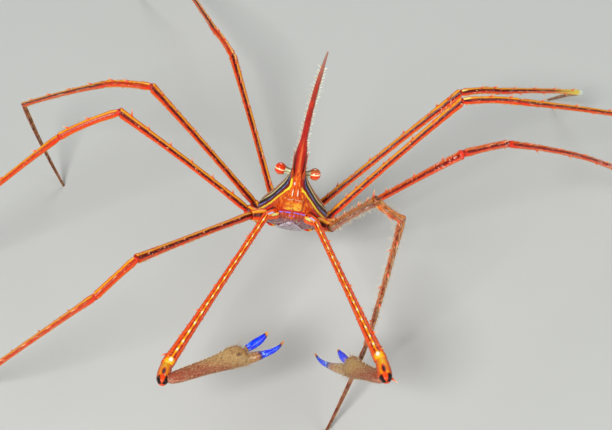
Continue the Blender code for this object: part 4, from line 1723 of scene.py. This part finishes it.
# Lengths of merus, carpus, propodus and dactyl of each pair of walking legs.
LIMB_LENGTHS = {
    2: (33.0, 8.5, 30.5, 17.0),
    3: (30.0, 11.0, 35.0, 17.5),
    4: (31.0, 11.0, 32.0, 20.0),
    5: (35.0, 10.0, 27.5, 15.0),
}

# Bearing from +X and slope above the floor of merus, carpus and propodus, and the dactyl's bearing.
WALKING_POSE = {
    (Side.RIGHT, 2): ((-125.5, 31), (-140, -18.5), (173, -49), 150),
    (Side.RIGHT, 3): ((173.5, 47), (-168, -19), (-167.5, -39.5), -94),
    (Side.RIGHT, 4): ((170.5, 58), (147.5, -24.5), (142, -40), -35),
    (Side.RIGHT, 5): ((104.5, 10.5), (113, -10), (109, -19.5), 150),
    (Side.LEFT, 2): ((-70.5, 56), (27.5, -54.5), (-146, -79), -124),
    (Side.LEFT, 3): ((-10.5, 47), (37, -22.5), (31, -38.5), 53),
    (Side.LEFT, 4): ((22, 39), (13.5, -14), (16, -24.5), -120),
    (Side.LEFT, 5): ((26.5, 30), (31, -25), (36.5, -31.5), 114),
}
# The same of a cheliped's merus, carpus and palm.
ARM_POSE = {
    Side.RIGHT: ((-119, -7), (-94, 19), (26, -7)),
    Side.LEFT: ((-72, 6), (-82, 12), (126, -40)),
}
# Legs that look unlike the others: a worn and hairy one, a redder one and one whose end is pale
# with a painted highlight.
TAN_LEG, RUDDY_LEG, PALE_ENDED_LEG = (Side.LEFT, 2), (Side.LEFT, 3), (Side.LEFT, 5)


@dataclass
class Limb:
    """What a walking leg and a cheliped have in common."""

    side: Side
    pair: int

    @property
    def root(self) -> Vector:
        """Where the hip meets the thorax."""
        return STANCE.point(LIMB_ROOTS[self.pair], self.side)

    @property
    def hip_end(self) -> Vector:
        """Where the hip ends and the merus starts."""
        return STANCE.point(HIP_ENDS[self.pair], self.side)

    def membranes(
        self, prefix: str, joints: Iterable[tuple[Vector, float]], finish: Finish, slot: str
    ) -> None:
        """Make the soft folded skin that shows in the joints.

        Args:
            prefix: the limb's name.
            joints: centre and radius of each.
            finish: its surface.
            slot: the record's material slot.
        """
        bm = bmesh.new()
        share = bm.verts.layers.float.new("share")
        for centre, radius in joints:
            made = bmesh.ops.create_uvsphere(
                bm, u_segments=20, v_segments=12, radius=radius, matrix=Matrix.Translation(centre)
            )
            for vert in made["verts"]:
                out = (vert.co - centre).normalized()
                fold = math.sin(18.0 * out.z + 5.0 * out.x)
                vert.co += out * 0.03 * fold
                vert[share] = 0.5 + 0.5 * fold
        finish_piece(f"{prefix}_membranes", bm, finish, slot)

    def dress(self, prefix: str, segments: Sequence[LimbSegment], slot: str) -> None:
        """Grow the spines, spinules and setae of all segments.

        Args:
            prefix: the limb's name.
            segments: the segments that carry them.
            slot: the record's material slot.
        """
        spines = Coat(Thorn())
        spinules = Coat(Thorn(sides=5, rings=0, tip=0.2))
        setae = Coat(Thorn(sides=3, rings=1, hook=0.25, tip=0.25))
        chance = random.Random(100 * self.pair + self.side.value)
        for number, segment in enumerate(segments):
            segment.grow_spines(spines)
            segment.grow_spinules(spinules, chance)
            segment.grow_setae(setae, chance, number / len(segments), 0.9 / len(segments))
        spines.piece(f"{prefix}_spines", SPINE, slot)
        spinules.piece(f"{prefix}_spinules", SPINE, slot)
        setae.piece(f"{prefix}_setae", SETA, slot)


@dataclass
class WalkingLeg(Limb):
    """One of the eight long legs."""

    slot: str = "leg_shell"

    def joints(self) -> list[Vector]:
        """Find the joints. The dactyl slopes so that its tip meets the floor.

        Returns:
            Their centres, from the hip's end to the tip.
        """
        pose, lengths = WALKING_POSE[self.side, self.pair], LIMB_LENGTHS[self.pair]
        points = [self.hip_end]
        for angles, length in zip(pose[:3], lengths):
            points.append(points[-1] + heading(*angles) * length)
        slope = -math.degrees(math.asin(points[-1].z / lengths[3]))
        points.append(points[-1] + heading(pose[3], slope) * lengths[3])
        return points

    def finishes(self) -> tuple[Finish, ...]:
        """Choose the surfaces: on the left the second leg is tan, the third redder.

        Returns:
            The surfaces from hip to dactyl.
        """
        leg = (self.side, self.pair)
        if leg == TAN_LEG:
            return LEG, LEG_TAN, LEG_TAN_KNEE, LEG_TAN, LEG_END
        if leg == RUDDY_LEG:
            return LEG, LEG_RUDDY, LEG_RUDDY_KNEE, LEG_RUDDY, LEG_END
        if leg == PALE_ENDED_LEG:
            return LEG, LEG, LEG_KNEE, LEG_HIGHLIT_END, LEG_END
        if self.side is Side.RIGHT:
            return LEG, LEG, LEG_WARM_KNEE, LEG_WARM_SHIN if self.pair < 4 else LEG_SHIN, LEG_END
        return LEG, LEG, LEG_KNEE, LEG_SHIN, LEG_END

    def shapes(self) -> tuple[SegmentShape, ...]:
        """Choose the shapes: the left second leg is hairy, the left third one bent.

        Returns:
            The shapes from hip to dactyl.
        """
        leg = (self.side, self.pair)
        if leg == TAN_LEG:
            return HIP, HAIRY_MERUS, HAIRY_CARPUS, HAIRY_PROPODUS, DACTYL
        if leg == RUDDY_LEG:
            return HIP, MERUS, CARPUS, BENT_PROPODUS, DACTYL
        return HIP, MERUS, CARPUS, PROPODUS, DACTYL

    def build(self) -> None:
        """Make the five segments with their joints, spines and setae."""
        prefix = f"leg_{self.side.tag}_{self.pair - 1}"
        points = [self.root, *self.joints()]
        ways = [(b - a).normalized() for a, b in zip(points, points[1:])]
        hinge = ways[1].cross(ways[3])
        names = ("hip", "merus", "carpus", "propodus", "dactyl")
        segments = []
        for number, (name, shape, finish) in enumerate(zip(names, self.shapes(), self.finishes())):
            segment = LimbSegment(
                name=name,
                shape=shape,
                start=points[number],
                end=points[number + 1],
                before=ways[number - 1] if number else None,
                after=ways[number + 1] if number < 4 else None,
                hinge=hinge if number else ways[0].cross(ways[1]),
                finish=finish,
                slot=self.slot,
                foot=name == "dactyl",
            )
            segment.build(f"{prefix}_{name}")
            segments.append(segment)
        soft = [(s.start, 0.93 * s.shape.radii[0][1]) for s in segments[1:]]
        tan = (self.side, self.pair) == TAN_LEG
        if tan:
            # This knee is folded so far that its soft skin bulges from the merus's end.
            soft[1] = (segments[2].start, 0.92 * segments[1].shape.radii[-1][1])
        self.membranes(prefix, soft, TAN_MEMBRANE if tan else MEMBRANE, self.slot)
        self.dress(prefix, segments[1:], self.slot)


@dataclass(frozen=True)
class ClawSize:
    """What differs between the two claws, in millimetres but for the tilt in degrees.

    The fixed finger's start is measured from the wrist.
    """

    palm: float
    fixed_start: float
    fixed_length: float
    fixed_curl: float
    movable_length: float
    movable_tilt: float


CLAW_SIZES = {
    Side.RIGHT: ClawSize(15.1, 12.8, 8.8, 0.75, 4.9, 15.0),
    Side.LEFT: ClawSize(12.7, 10.9, 13.4, 0.90, 4.1, 16.0),
}


@dataclass
class Cheliped(Limb):
    """One of the two clawed arms."""

    pair: int = 1
    slot: str = "cheliped_shell"
    arm_lengths: tuple[float, float] = (32.5, 4.0)
    palm_start: float = 0.9
    # Share of the length, half width, half depth, and how far the middle lies towards the opening.
    palm_sections: Table = (
        (0.0, 0.8, 0.75, 0.0), (0.12, 1.0, 0.9, 0.0), (0.5, 1.2, 1.05, 0.0),
        (0.8, 1.65, 1.3, 0.1), (0.9, 1.6, 1.2, 0.05), (0.97, 1.25, 1.0, -0.3),
        (1.0, 1.0, 0.85, -0.55),
    )
    opening_side: Vector = field(default_factory=lambda: Vector((0.0, 0.77, 0.64)))
    finger_spread: float = 0.85
    movable_start: float = -0.4
    fixed_tilt: float = 0.5
    # Share of the length, half width across the opening and how far the finger curls up there.
    fixed_radii: Table = (
        (0.0, 0.80, 0.06), (0.12, 0.94, 0.16), (0.25, 0.96, 0.16), (0.38, 0.84, 0.06),
        (0.52, 0.67, 0.0), (0.66, 0.53, 0.03), (0.78, 0.43, 0.18), (0.90, 0.28, 0.64),
        (1.0, 0.15, 1.40),
    )
    movable_radii: Table = (
        (0.0, 0.44, 0.0), (0.08, 0.58, 0.0), (0.32, 0.72, -0.05), (0.58, 0.68, -0.04),
        (0.80, 0.46, 0.10), (0.93, 0.26, 0.26), (1.0, 0.13, 0.36),
    )
    # Half depth of a finger as a share of its half width.
    fixed_depth: float = 0.86
    movable_depth: float = 0.66
    palm_hairs: int = 1900
    palm_tubercles: int = 13
    teeth: int = 9

    @property
    def claw_size(self) -> ClawSize:
        """Sizes of this side's claw."""
        return CLAW_SIZES[self.side]

    def build(self) -> None:
        """Make the arm, the palm and both fingers."""
        prefix = f"cheliped_{self.side.tag}"
        ways = [heading(*angles) for angles in ARM_POSE[self.side]]
        shoulder = self.hip_end
        elbow = shoulder + ways[0] * self.arm_lengths[0]
        wrist = elbow + ways[1] * self.arm_lengths[1]
        hip_way = (shoulder - self.root).normalized()
        hinge = ways[0].cross(ways[2])
        hip_hinge = hip_way.cross(ways[0])
        arm = [
            LimbSegment(*row, self.slot)
            for row in (
                ("hip", ARM_HIP, self.root, shoulder, None, ways[0], hip_hinge, ARM_BASE),
                ("merus", ARM_MERUS, shoulder, elbow, hip_way, ways[1], hinge, ARM),
                ("carpus", ARM_CARPUS, elbow, wrist, ways[0], None, hinge, WRIST),
            )
        ]
        for segment in arm:
            segment.build(f"{prefix}_{segment.name}")
        self.membranes(prefix, [(shoulder, 0.58), (elbow, 0.92)], ARM_MEMBRANE, self.slot)
        self.dress(prefix, arm[1:], self.slot)
        self.claw(prefix, wrist, ways[2])

    def palm_point(self, base: Matrix, reach: float, turn: float, share: float) -> Vector:
        """Point of the palm, humped before the movable finger.

        Args:
            base: matrix at the palm's root.
            reach: its length in millimetres.
            turn: angle from the side that opens, in radians.
            share: share of its length.

        Returns:
            The point in millimetres.
        """
        inside = min(max(share, 0.0), 1.0)
        rounding = 1.0
        if share < 0.06:
            rounding = math.sqrt(max(0.0, 1.0 - ((0.06 - share) / 0.075) ** 2))
        if share > 0.92:
            rounding = math.sqrt(max(0.0, 1.0 - ((share - 0.92) / 0.085) ** 2))
        upper = max(0.0, math.cos(turn))
        wide = smooth_value(self.palm_sections, inside, 1)
        wide += upper * (0.14 * math.sin(math.pi * inside) + 0.16 * swell(inside, 0.80, 0.09))
        high = smooth_value(self.palm_sections, inside, 2)
        middle = smooth_value(self.palm_sections, inside, 3)
        across = middle + wide * math.cos(turn) * rounding
        return base @ Vector((across, high * math.sin(turn) * rounding, share * reach))

    def claw(self, prefix: str, wrist: Vector, way: Vector) -> None:
        """Make the palm, the fixed and the movable finger, and the palm's hair.

        Args:
            prefix: the limb's name.
            wrist: the joint with the arm.
            way: the way the palm points.
        """
        frame = frame_along(wrist, way, self.opening_side)
        size = self.claw_size
        reach = size.palm - self.palm_start
        base = frame @ Matrix.Translation((0, 0, self.palm_start))
        place = partial(self.palm_point, base, reach)
        stations = [-0.01, 0.0, 0.01, 0.025, 0.045] + [0.06 + 0.86 * i / 40 for i in range(41)]
        stations += [0.94, 0.955, 0.97, 0.985, 0.995, 1.003]
        palm = swept(stations, 36, place, partial(ring_mark, reach))
        finish_piece(f"{prefix}_palm_shell", palm, PALM, "palm_shell", (f"{prefix}_palm",))
        self.finger(f"{prefix}_fixed_finger", frame, size.fixed_start, -1.0)
        movable_at = size.palm + self.movable_start
        self.finger(f"{prefix}_movable_finger", frame, movable_at, 1.0, f"{prefix}_finger")
        self.palm_coat(prefix, base, reach, way)

    def palm_coat(self, prefix: str, base: Matrix, reach: float, way: Vector) -> None:
        """Grow the palm's short hair, the long hairs by the fingers and its tubercles.

        Args:
            prefix: the limb's name.
            base: matrix at the palm's root.
            reach: its length in millimetres.
            way: the way the palm points.
        """
        hair = Coat(Thorn(sides=3, rings=1, hook=0.3, tip=0.25))
        knobs = Coat(Thorn(sides=6, rings=1, hook=0.05, tip=0.35))
        chance = random.Random(40 + self.side.value)
        for number in range(self.palm_hairs):
            share = chance.uniform(0.05, 0.99) ** 0.8
            turn = chance.uniform(0, 2 * math.pi)
            foot = self.palm_point(base, reach, turn, share)
            out = (foot - base @ Vector((0, 0, share * reach))).normalized()
            axis = out + way * chance.uniform(0.4, 1.6)
            long = 0.7 if share > 0.72 and chance.random() < 0.25 else 0.26
            if share > 0.86 and number % 9 == 0:
                long = 1.6
            length = long * chance.uniform(0.7, 1.4)
            hair.add(foot - out * 0.03, axis, way, length, 0.025, unwrap_place(turn, share))
        for number in range(self.palm_tubercles):
            share = 0.10 + 0.05 * number
            turn = chance.uniform(-0.25, 0.25)
            foot = self.palm_point(base, reach, turn, share)
            out = (foot - base @ Vector((0, 0, share * reach))).normalized()
            knobs.add(foot - out * 0.08, out + way * 0.4, way, chance.uniform(0.24, 0.34), 0.10)
        hair.piece(f"{prefix}_palm_setae", PALM_SETA, "palm_shell")
        knobs.piece(f"{prefix}_palm_tubercles", TOOTH, "palm_shell")

    def finger(self, name: str, frame: Matrix, along: float, way: float, node: str = "") -> None:
        """Make one finger with the teeth on its inner edge.

        Args:
            name: the piece's name.
            frame: the palm's frame.
            along: where the finger starts, in millimetres from the wrist.
            way: 1 for the movable finger, -1 for the fixed one.
            node: the CAD node that it stands for.
        """
        movable = way > 0
        size = self.claw_size
        length = size.movable_length if movable else size.fixed_length
        tilt = size.movable_tilt if movable else self.fixed_tilt
        table = self.movable_radii if movable else self.fixed_radii
        bent = 1.0 if movable else size.fixed_curl
        depth = self.movable_depth if movable else self.fixed_depth
        base = (
            frame
            @ Matrix.Translation((way * self.finger_spread, 0, along))
            @ Matrix.Rotation(math.radians(tilt), 4, "Y")
        )

        def place(turn: float, share: float) -> Vector:
            """Point of the finger, which ends in a rounded tip.

            Args:
                turn: angle from the side that opens, in radians.
                share: share of its length.

            Returns:
                The point in millimetres.
            """
            radius, curl = smooth_value(table, share), bent * smooth_value(table, share, 2)
            if share > 0.95:
                radius *= math.sqrt(max(0.0, 1.0 - ((share - 0.95) / 0.051) ** 2))
            across = radius * math.cos(turn) + curl
            return base @ Vector((across, depth * radius * math.sin(turn), share * length))

        stations = [i / 40 for i in range(40)] + [0.985, 0.995, 1.0]
        bm = swept(stations, 22, place, partial(ring_mark, length))
        finish = MOVING_FINGER if movable else FIXED_FINGERS[self.side]
        finish_piece(name, bm, finish, "finger_shell", (node,) if node else ())
        teeth = Coat(Thorn(sides=5, rings=1, hook=0.0, tip=0.4))
        inner = math.pi if movable else 0.0
        for i in range(self.teeth):
            share = (0.30 if movable else 0.52) + 0.045 * i
            foot = place(inner, share)
            middle = base @ Vector((bent * smooth_value(table, share, 2), 0, share * length))
            out = (foot - middle).normalized()
            teeth.add(foot - out * 0.05, out, base.to_3x3() @ Vector((0, 0, 1)), 0.16, 0.08)
        teeth.piece(f"{name}_teeth", TOOTH, "finger_shell")


# ---------------------------------------------------------------- head and tail


@dataclass
class Eye:
    """A round eye on a short stalk beside the rostrum's base."""

    side: Side
    # The right eye is held a little further out and higher than the left one.
    centres: Mapping[Side, tuple[float, float, float]] = field(
        default_factory=lambda: {Side.RIGHT: (3.1, 10.45, 0.95), Side.LEFT: (2.85, 10.25, 0.9)}
    )
    stalk_root: tuple[float, float, float] = (1.0, 10.2, 0.7)
    radius: float = 1.06
    stalk_radius: float = 0.56
    # The outer half of the ball is this much flatter.
    flatness: float = 0.94

    def build(self) -> None:
        """Make the eyeball and the stalk."""
        centre = STANCE.point(self.centres[self.side], self.side)
        root = STANCE.point(self.stalk_root, self.side)
        way = (centre - root).normalized()
        frame = frame_along(centre, way, STRIPE_RISES * 0.93 + STRIPE_FACES * 0.37)
        node = f"eye_{self.side.tag}"

        def place(turn: float, angle: float) -> Vector:
            """Point of the ball.

            Args:
                turn: angle round the stalk's way, in radians.
                angle: angle from the outer pole, in radians.

            Returns:
                The point in millimetres.
            """
            flat = self.flatness if math.cos(angle) > 0 else 1.0
            ring = self.radius * math.sin(angle)
            height = self.radius * flat * math.cos(angle)
            return frame @ Vector((ring * math.cos(turn), ring * math.sin(turn), height))

        def mark(turn: float, angle: float) -> Skin:
            """Place on the unit ball with the height of the bands last, and share."""
            ring = math.sin(angle)
            return (math.cos(angle), ring * math.sin(turn), ring * math.cos(turn)), angle / math.pi

        stations = [math.pi * (0.01 + 0.86 * i / 26) for i in range(27)]
        ball = swept(stations, 40, place, mark)
        finish_piece(f"{node}_ball", ball, CORNEAS[self.side], "eye_surface", (node,))
        reach = (centre - root).length - self.radius * 0.75

        def stalk_place(turn: float, share: float) -> Vector:
            """Point of the stalk, which widens under the ball.

            Args:
                turn: angle round it, in radians.
                share: share of its length.

            Returns:
                The point in millimetres.
            """
            radius = self.stalk_radius * (1.05 - 0.16 * math.sin(math.pi * share) + 0.25 * share**3)
            point = Vector((radius * math.cos(turn), radius * math.sin(turn), share * reach))
            return frame_along(root, way, frame.col[0].xyz) @ point

        def stalk_mark(turn: float, share: float) -> Skin:
            """Turn as a pair, millimetres along, and the lines that run down the stalk."""
            line = max(swell(turn % math.pi, 1.0, 0.32), swell(turn % math.pi, 2.1, 0.28))
            return (math.cos(turn), math.sin(turn), share * reach), line

        stalk = swept([i / 12 for i in range(13)], 32, stalk_place, stalk_mark)
        finish_piece(f"{node}_stalk", stalk, STALK, "eye_surface")


@dataclass
class Feeler:
    """Antenna of one side, with its thick base beside the rostrum."""

    side: Side
    root: tuple[float, float, float] = (0.95, 11.2, -0.9)
    tip: tuple[float, float, float] = (1.15, 19.5, -1.0)
    # The real one is thinner than a solid may be, so the render has it finer than the solid.
    radii: Table = ((0.0, 0.27), (0.12, 0.28), (0.24, 0.20), (0.30, 0.10), (0.7, 0.08), (1.0, 0.04))

    def build(self) -> None:
        """Make the antenna."""
        root, tip = STANCE.point(self.root, self.side), STANCE.point(self.tip, self.side)
        frame = frame_along(root, tip - root, Vector((1, 0, 0)))
        length = (tip - root).length

        def place(turn: float, share: float) -> Vector:
            """Point of the ringed feeler.

            Args:
                turn: angle round it, in radians.
                share: share of its length.

            Returns:
                The point in millimetres.
            """
            ringed = 1.0 + 0.10 * math.cos(2 * math.pi * share * 30) * ease(share, 0.34, 0.40)
            radius = smooth_value(self.radii, share) * ringed
            point = Vector((radius * math.cos(turn), radius * math.sin(turn), share * length))
            return frame @ point

        bm = swept([i / 120 for i in range(121)], 14, place, partial(ring_mark, length))
        node = f"antenna_{self.side.tag}"
        finish_piece(f"{node}_feeler", bm, FEELER, "carapace_shell", (node,))


@dataclass
class MouthPlate:
    """Outer mouthpart of one side: a broad plate by the midline, with a slender palp before it."""

    side: Side
    first: float = 5.35
    last: float = 9.6
    # How far its middle lies off the thorax.
    lift: float = 0.05
    # Share of the length, place from the midline, half width and half depth.
    sections: Table = (
        (0.0, 0.72, 0.58, 0.30), (0.06, 0.75, 0.74, 0.42), (0.22, 0.77, 0.81, 0.46),
        (0.27, 0.77, 0.80, 0.42), (0.33, 0.77, 0.81, 0.46), (0.50, 0.73, 0.74, 0.42),
        (0.59, 0.62, 0.42, 0.34), (0.68, 0.50, 0.20, 0.30), (0.86, 0.44, 0.18, 0.30),
        (1.0, 0.42, 0.12, 0.20),
    )

    def build(self) -> None:
        """Make the plate and its palp."""
        body = BodyShell()
        length = self.last - self.first

        def place(turn: float, share: float) -> Vector:
            """Point of the plate, a flat rounded form that lies on the thorax.

            Args:
                turn: angle from the side that faces out, in radians.
                share: share of its length.

            Returns:
                The point in millimetres.
            """
            middle, wide, deep = (smooth_value(self.sections, share, i) for i in (1, 2, 3))
            ends = math.sqrt(max(0.0, 1.0 - (abs(share - 0.5) / 0.503) ** 16))
            aside = math.copysign(abs(math.sin(turn)) ** 0.6, math.sin(turn))
            out = math.copysign(abs(math.cos(turn)) ** 0.5, math.cos(turn))
            forward = self.first + share * length
            up = body.section(forward)[2] - self.lift - deep * out * ends
            return STANCE.point((middle + wide * aside * ends, forward, up), self.side)

        bm = swept([i / 64 for i in range(65)], 32, place, partial(ring_mark, length))
        node = f"maxilliped_{self.side.tag}"
        finish_piece(f"{node}_plate", bm, MOUTH, "belly_shell", (node,))


@dataclass
class Tail:
    """Abdomen, folded forward under the thorax, with its cross furrows."""

    sections: Table = ((-7.4, 0.9), (-5.6, 2.0), (-3.4, 2.4), (-1.4, 2.1), (0.4, 1.3), (1.4, 0.5))
    thickness: float = 0.42
    inset: float = 0.12
    joints: tuple[float, ...] = (-5.9, -4.7, -3.5, -2.3, -1.1)
    furrow_depth: float = 0.13

    def build(self) -> None:
        """Make the tail plate."""
        body = BodyShell()

        def place(turn: float, forward: float) -> Vector:
            """Point of the plate, furrowed at its joints and raised along its middle.

            Args:
                turn: angle from its left edge, in radians.
                forward: millimetres forward of the hub.

            Returns:
                The point in millimetres.
            """
            half = smooth_value(self.sections, forward)
            furrow = sum(self.furrow_depth * swell(forward, joint, 0.13) for joint in self.joints)
            crest = 0.9 + 0.12 * swell(math.cos(turn), 0.0, 0.3)
            height = self.thickness * (1.0 - furrow) * crest
            edge = 1.0 - 0.04 * furrow / self.furrow_depth
            up = body.section(forward)[2] - self.inset + height * math.sin(turn)
            return STANCE.point((half * edge * math.cos(turn), forward, up))

        def mark(turn: float, forward: float) -> Skin:
            """Values that the finish reads.

            Args:
                turn: angle from its left edge, in radians.
                forward: millimetres forward of the hub.

            Returns:
                Place across, forward and up, and a share that is higher in furrows and at the rim.
            """
            furrow = sum(swell(forward, joint, 0.16) for joint in self.joints)
            pale = 0.25 + 0.6 * min(furrow, 1.0) + 0.5 * swell(abs(math.cos(turn)), 1.0, 0.12)
            return (math.cos(turn), forward, math.sin(turn)), pale

        first, last = self.sections[0][0], self.sections[-1][0]
        bm = swept([first + (last - first) * i / 110 for i in range(111)], 44, place, mark)
        finish_piece("abdomen_plate", bm, TAIL, "belly_shell", ("abdomen",))


# ---------------------------------------------------------------- studio


@dataclass
class Studio:
    """Pale floor, soft lights, and the camera at the photograph's angle."""

    elevation: float = 50.0
    distance: float = 255.0
    image_width: int = 612
    focal_pixels: float = 1450.0
    # How far the camera is moved aside and up from the line to the hub, in millimetres.
    sideways: float = 2.286
    upwards: float = -1.407
    # The floor's half width, and what the lights aim at, in metres.
    floor_size: float = 1.5
    lights_aim: tuple[float, float, float] = (0.0, -0.01, 0.02)

    def build(self) -> None:
        """Make the camera first, then the floor, the lights and the sky."""
        self.camera()
        self.floor()
        self.lights()

    def camera(self) -> None:
        """Aim the camera at the hub, with the photograph's centre a little to its side."""
        slope = math.radians(self.elevation)
        view = Vector((0, math.cos(slope), -math.sin(slope)))
        up = Vector((0, math.sin(slope), math.cos(slope)))
        hub = Vector(STANCE.hub)
        place = hub - view * self.distance + Vector((1, 0, 0)) * self.sideways + up * self.upwards
        data = bpy.data.cameras.new("photo_camera")
        data.sensor_width = 36.0
        data.lens = data.sensor_width * self.focal_pixels / self.image_width
        data.clip_start = 0.005
        camera = bpy.data.objects.new("photo_camera", data)
        camera.location = place * MM
        camera.rotation_euler = (math.radians(90.0 - self.elevation), 0.0, 0.0)
        bpy.context.scene.collection.objects.link(camera)
        bpy.context.scene.camera = camera

    def floor(self) -> None:
        """A wide pale floor at the leg tips' level."""
        bm = bmesh.new()
        bmesh.ops.create_grid(bm, x_segments=1, y_segments=1, size=self.floor_size)
        mesh = bpy.data.meshes.new("studio_floor")
        bm.to_mesh(mesh)
        bm.free()
        floor = bpy.data.objects.new("studio_floor", mesh)
        material = bpy.data.materials.new("studio_floor_paint")
        material.use_nodes = True
        shader = material.node_tree.nodes["Principled BSDF"]
        shader.inputs["Base Color"].default_value = linear("#C9CBC7")
        shader.inputs["Roughness"].default_value = 0.8
        mesh.materials.append(material)
        bpy.context.scene.collection.objects.link(floor)

    def lights(self) -> None:
        """A soft key from the front and upper left, a fill from the right and one behind."""
        world = bpy.data.worlds.new("studio_sky")
        world.use_nodes = True
        background = world.node_tree.nodes["Background"]
        background.inputs["Color"].default_value = linear("#EEF1F4")
        background.inputs["Strength"].default_value = 0.17
        bpy.context.scene.world = world
        for name, place, size, power in (
            ("key", (-0.20, -0.42, 0.50), 0.22, 3.7),
            ("fill", (0.42, -0.25, 0.30), 0.35, 0.8),
            ("back", (0.05, 0.45, 0.35), 0.30, 0.9),
        ):
            data = bpy.data.lights.new(f"{name}_light", "AREA")
            data.shape = "DISK"
            data.size = size
            data.energy = power
            light = bpy.data.objects.new(f"{name}_light", data)
            light.location = place
            way = Vector(self.lights_aim) - Vector(place)
            light.rotation_euler = way.to_track_quat("-Z", "Y").to_euler()
            bpy.context.scene.collection.objects.link(light)


def main() -> None:
    """Build the studio and every piece of the crab."""
    logging.basicConfig(level=logging.INFO, format="%(name)s %(message)s")
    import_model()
    bpy.context.scene.view_settings.view_transform = "Standard"
    Studio().build()
    BodyShell().build()
    Tail().build()
    for side in Side:
        Eye(side).build()
        Feeler(side).build()
        MouthPlate(side).build()
        Cheliped(side).build()
        for pair in (2, 3, 4, 5):
            WalkingLeg(side, pair).build()
    bpy.context.view_layer.update()


if __name__ == "__main__":
    main()
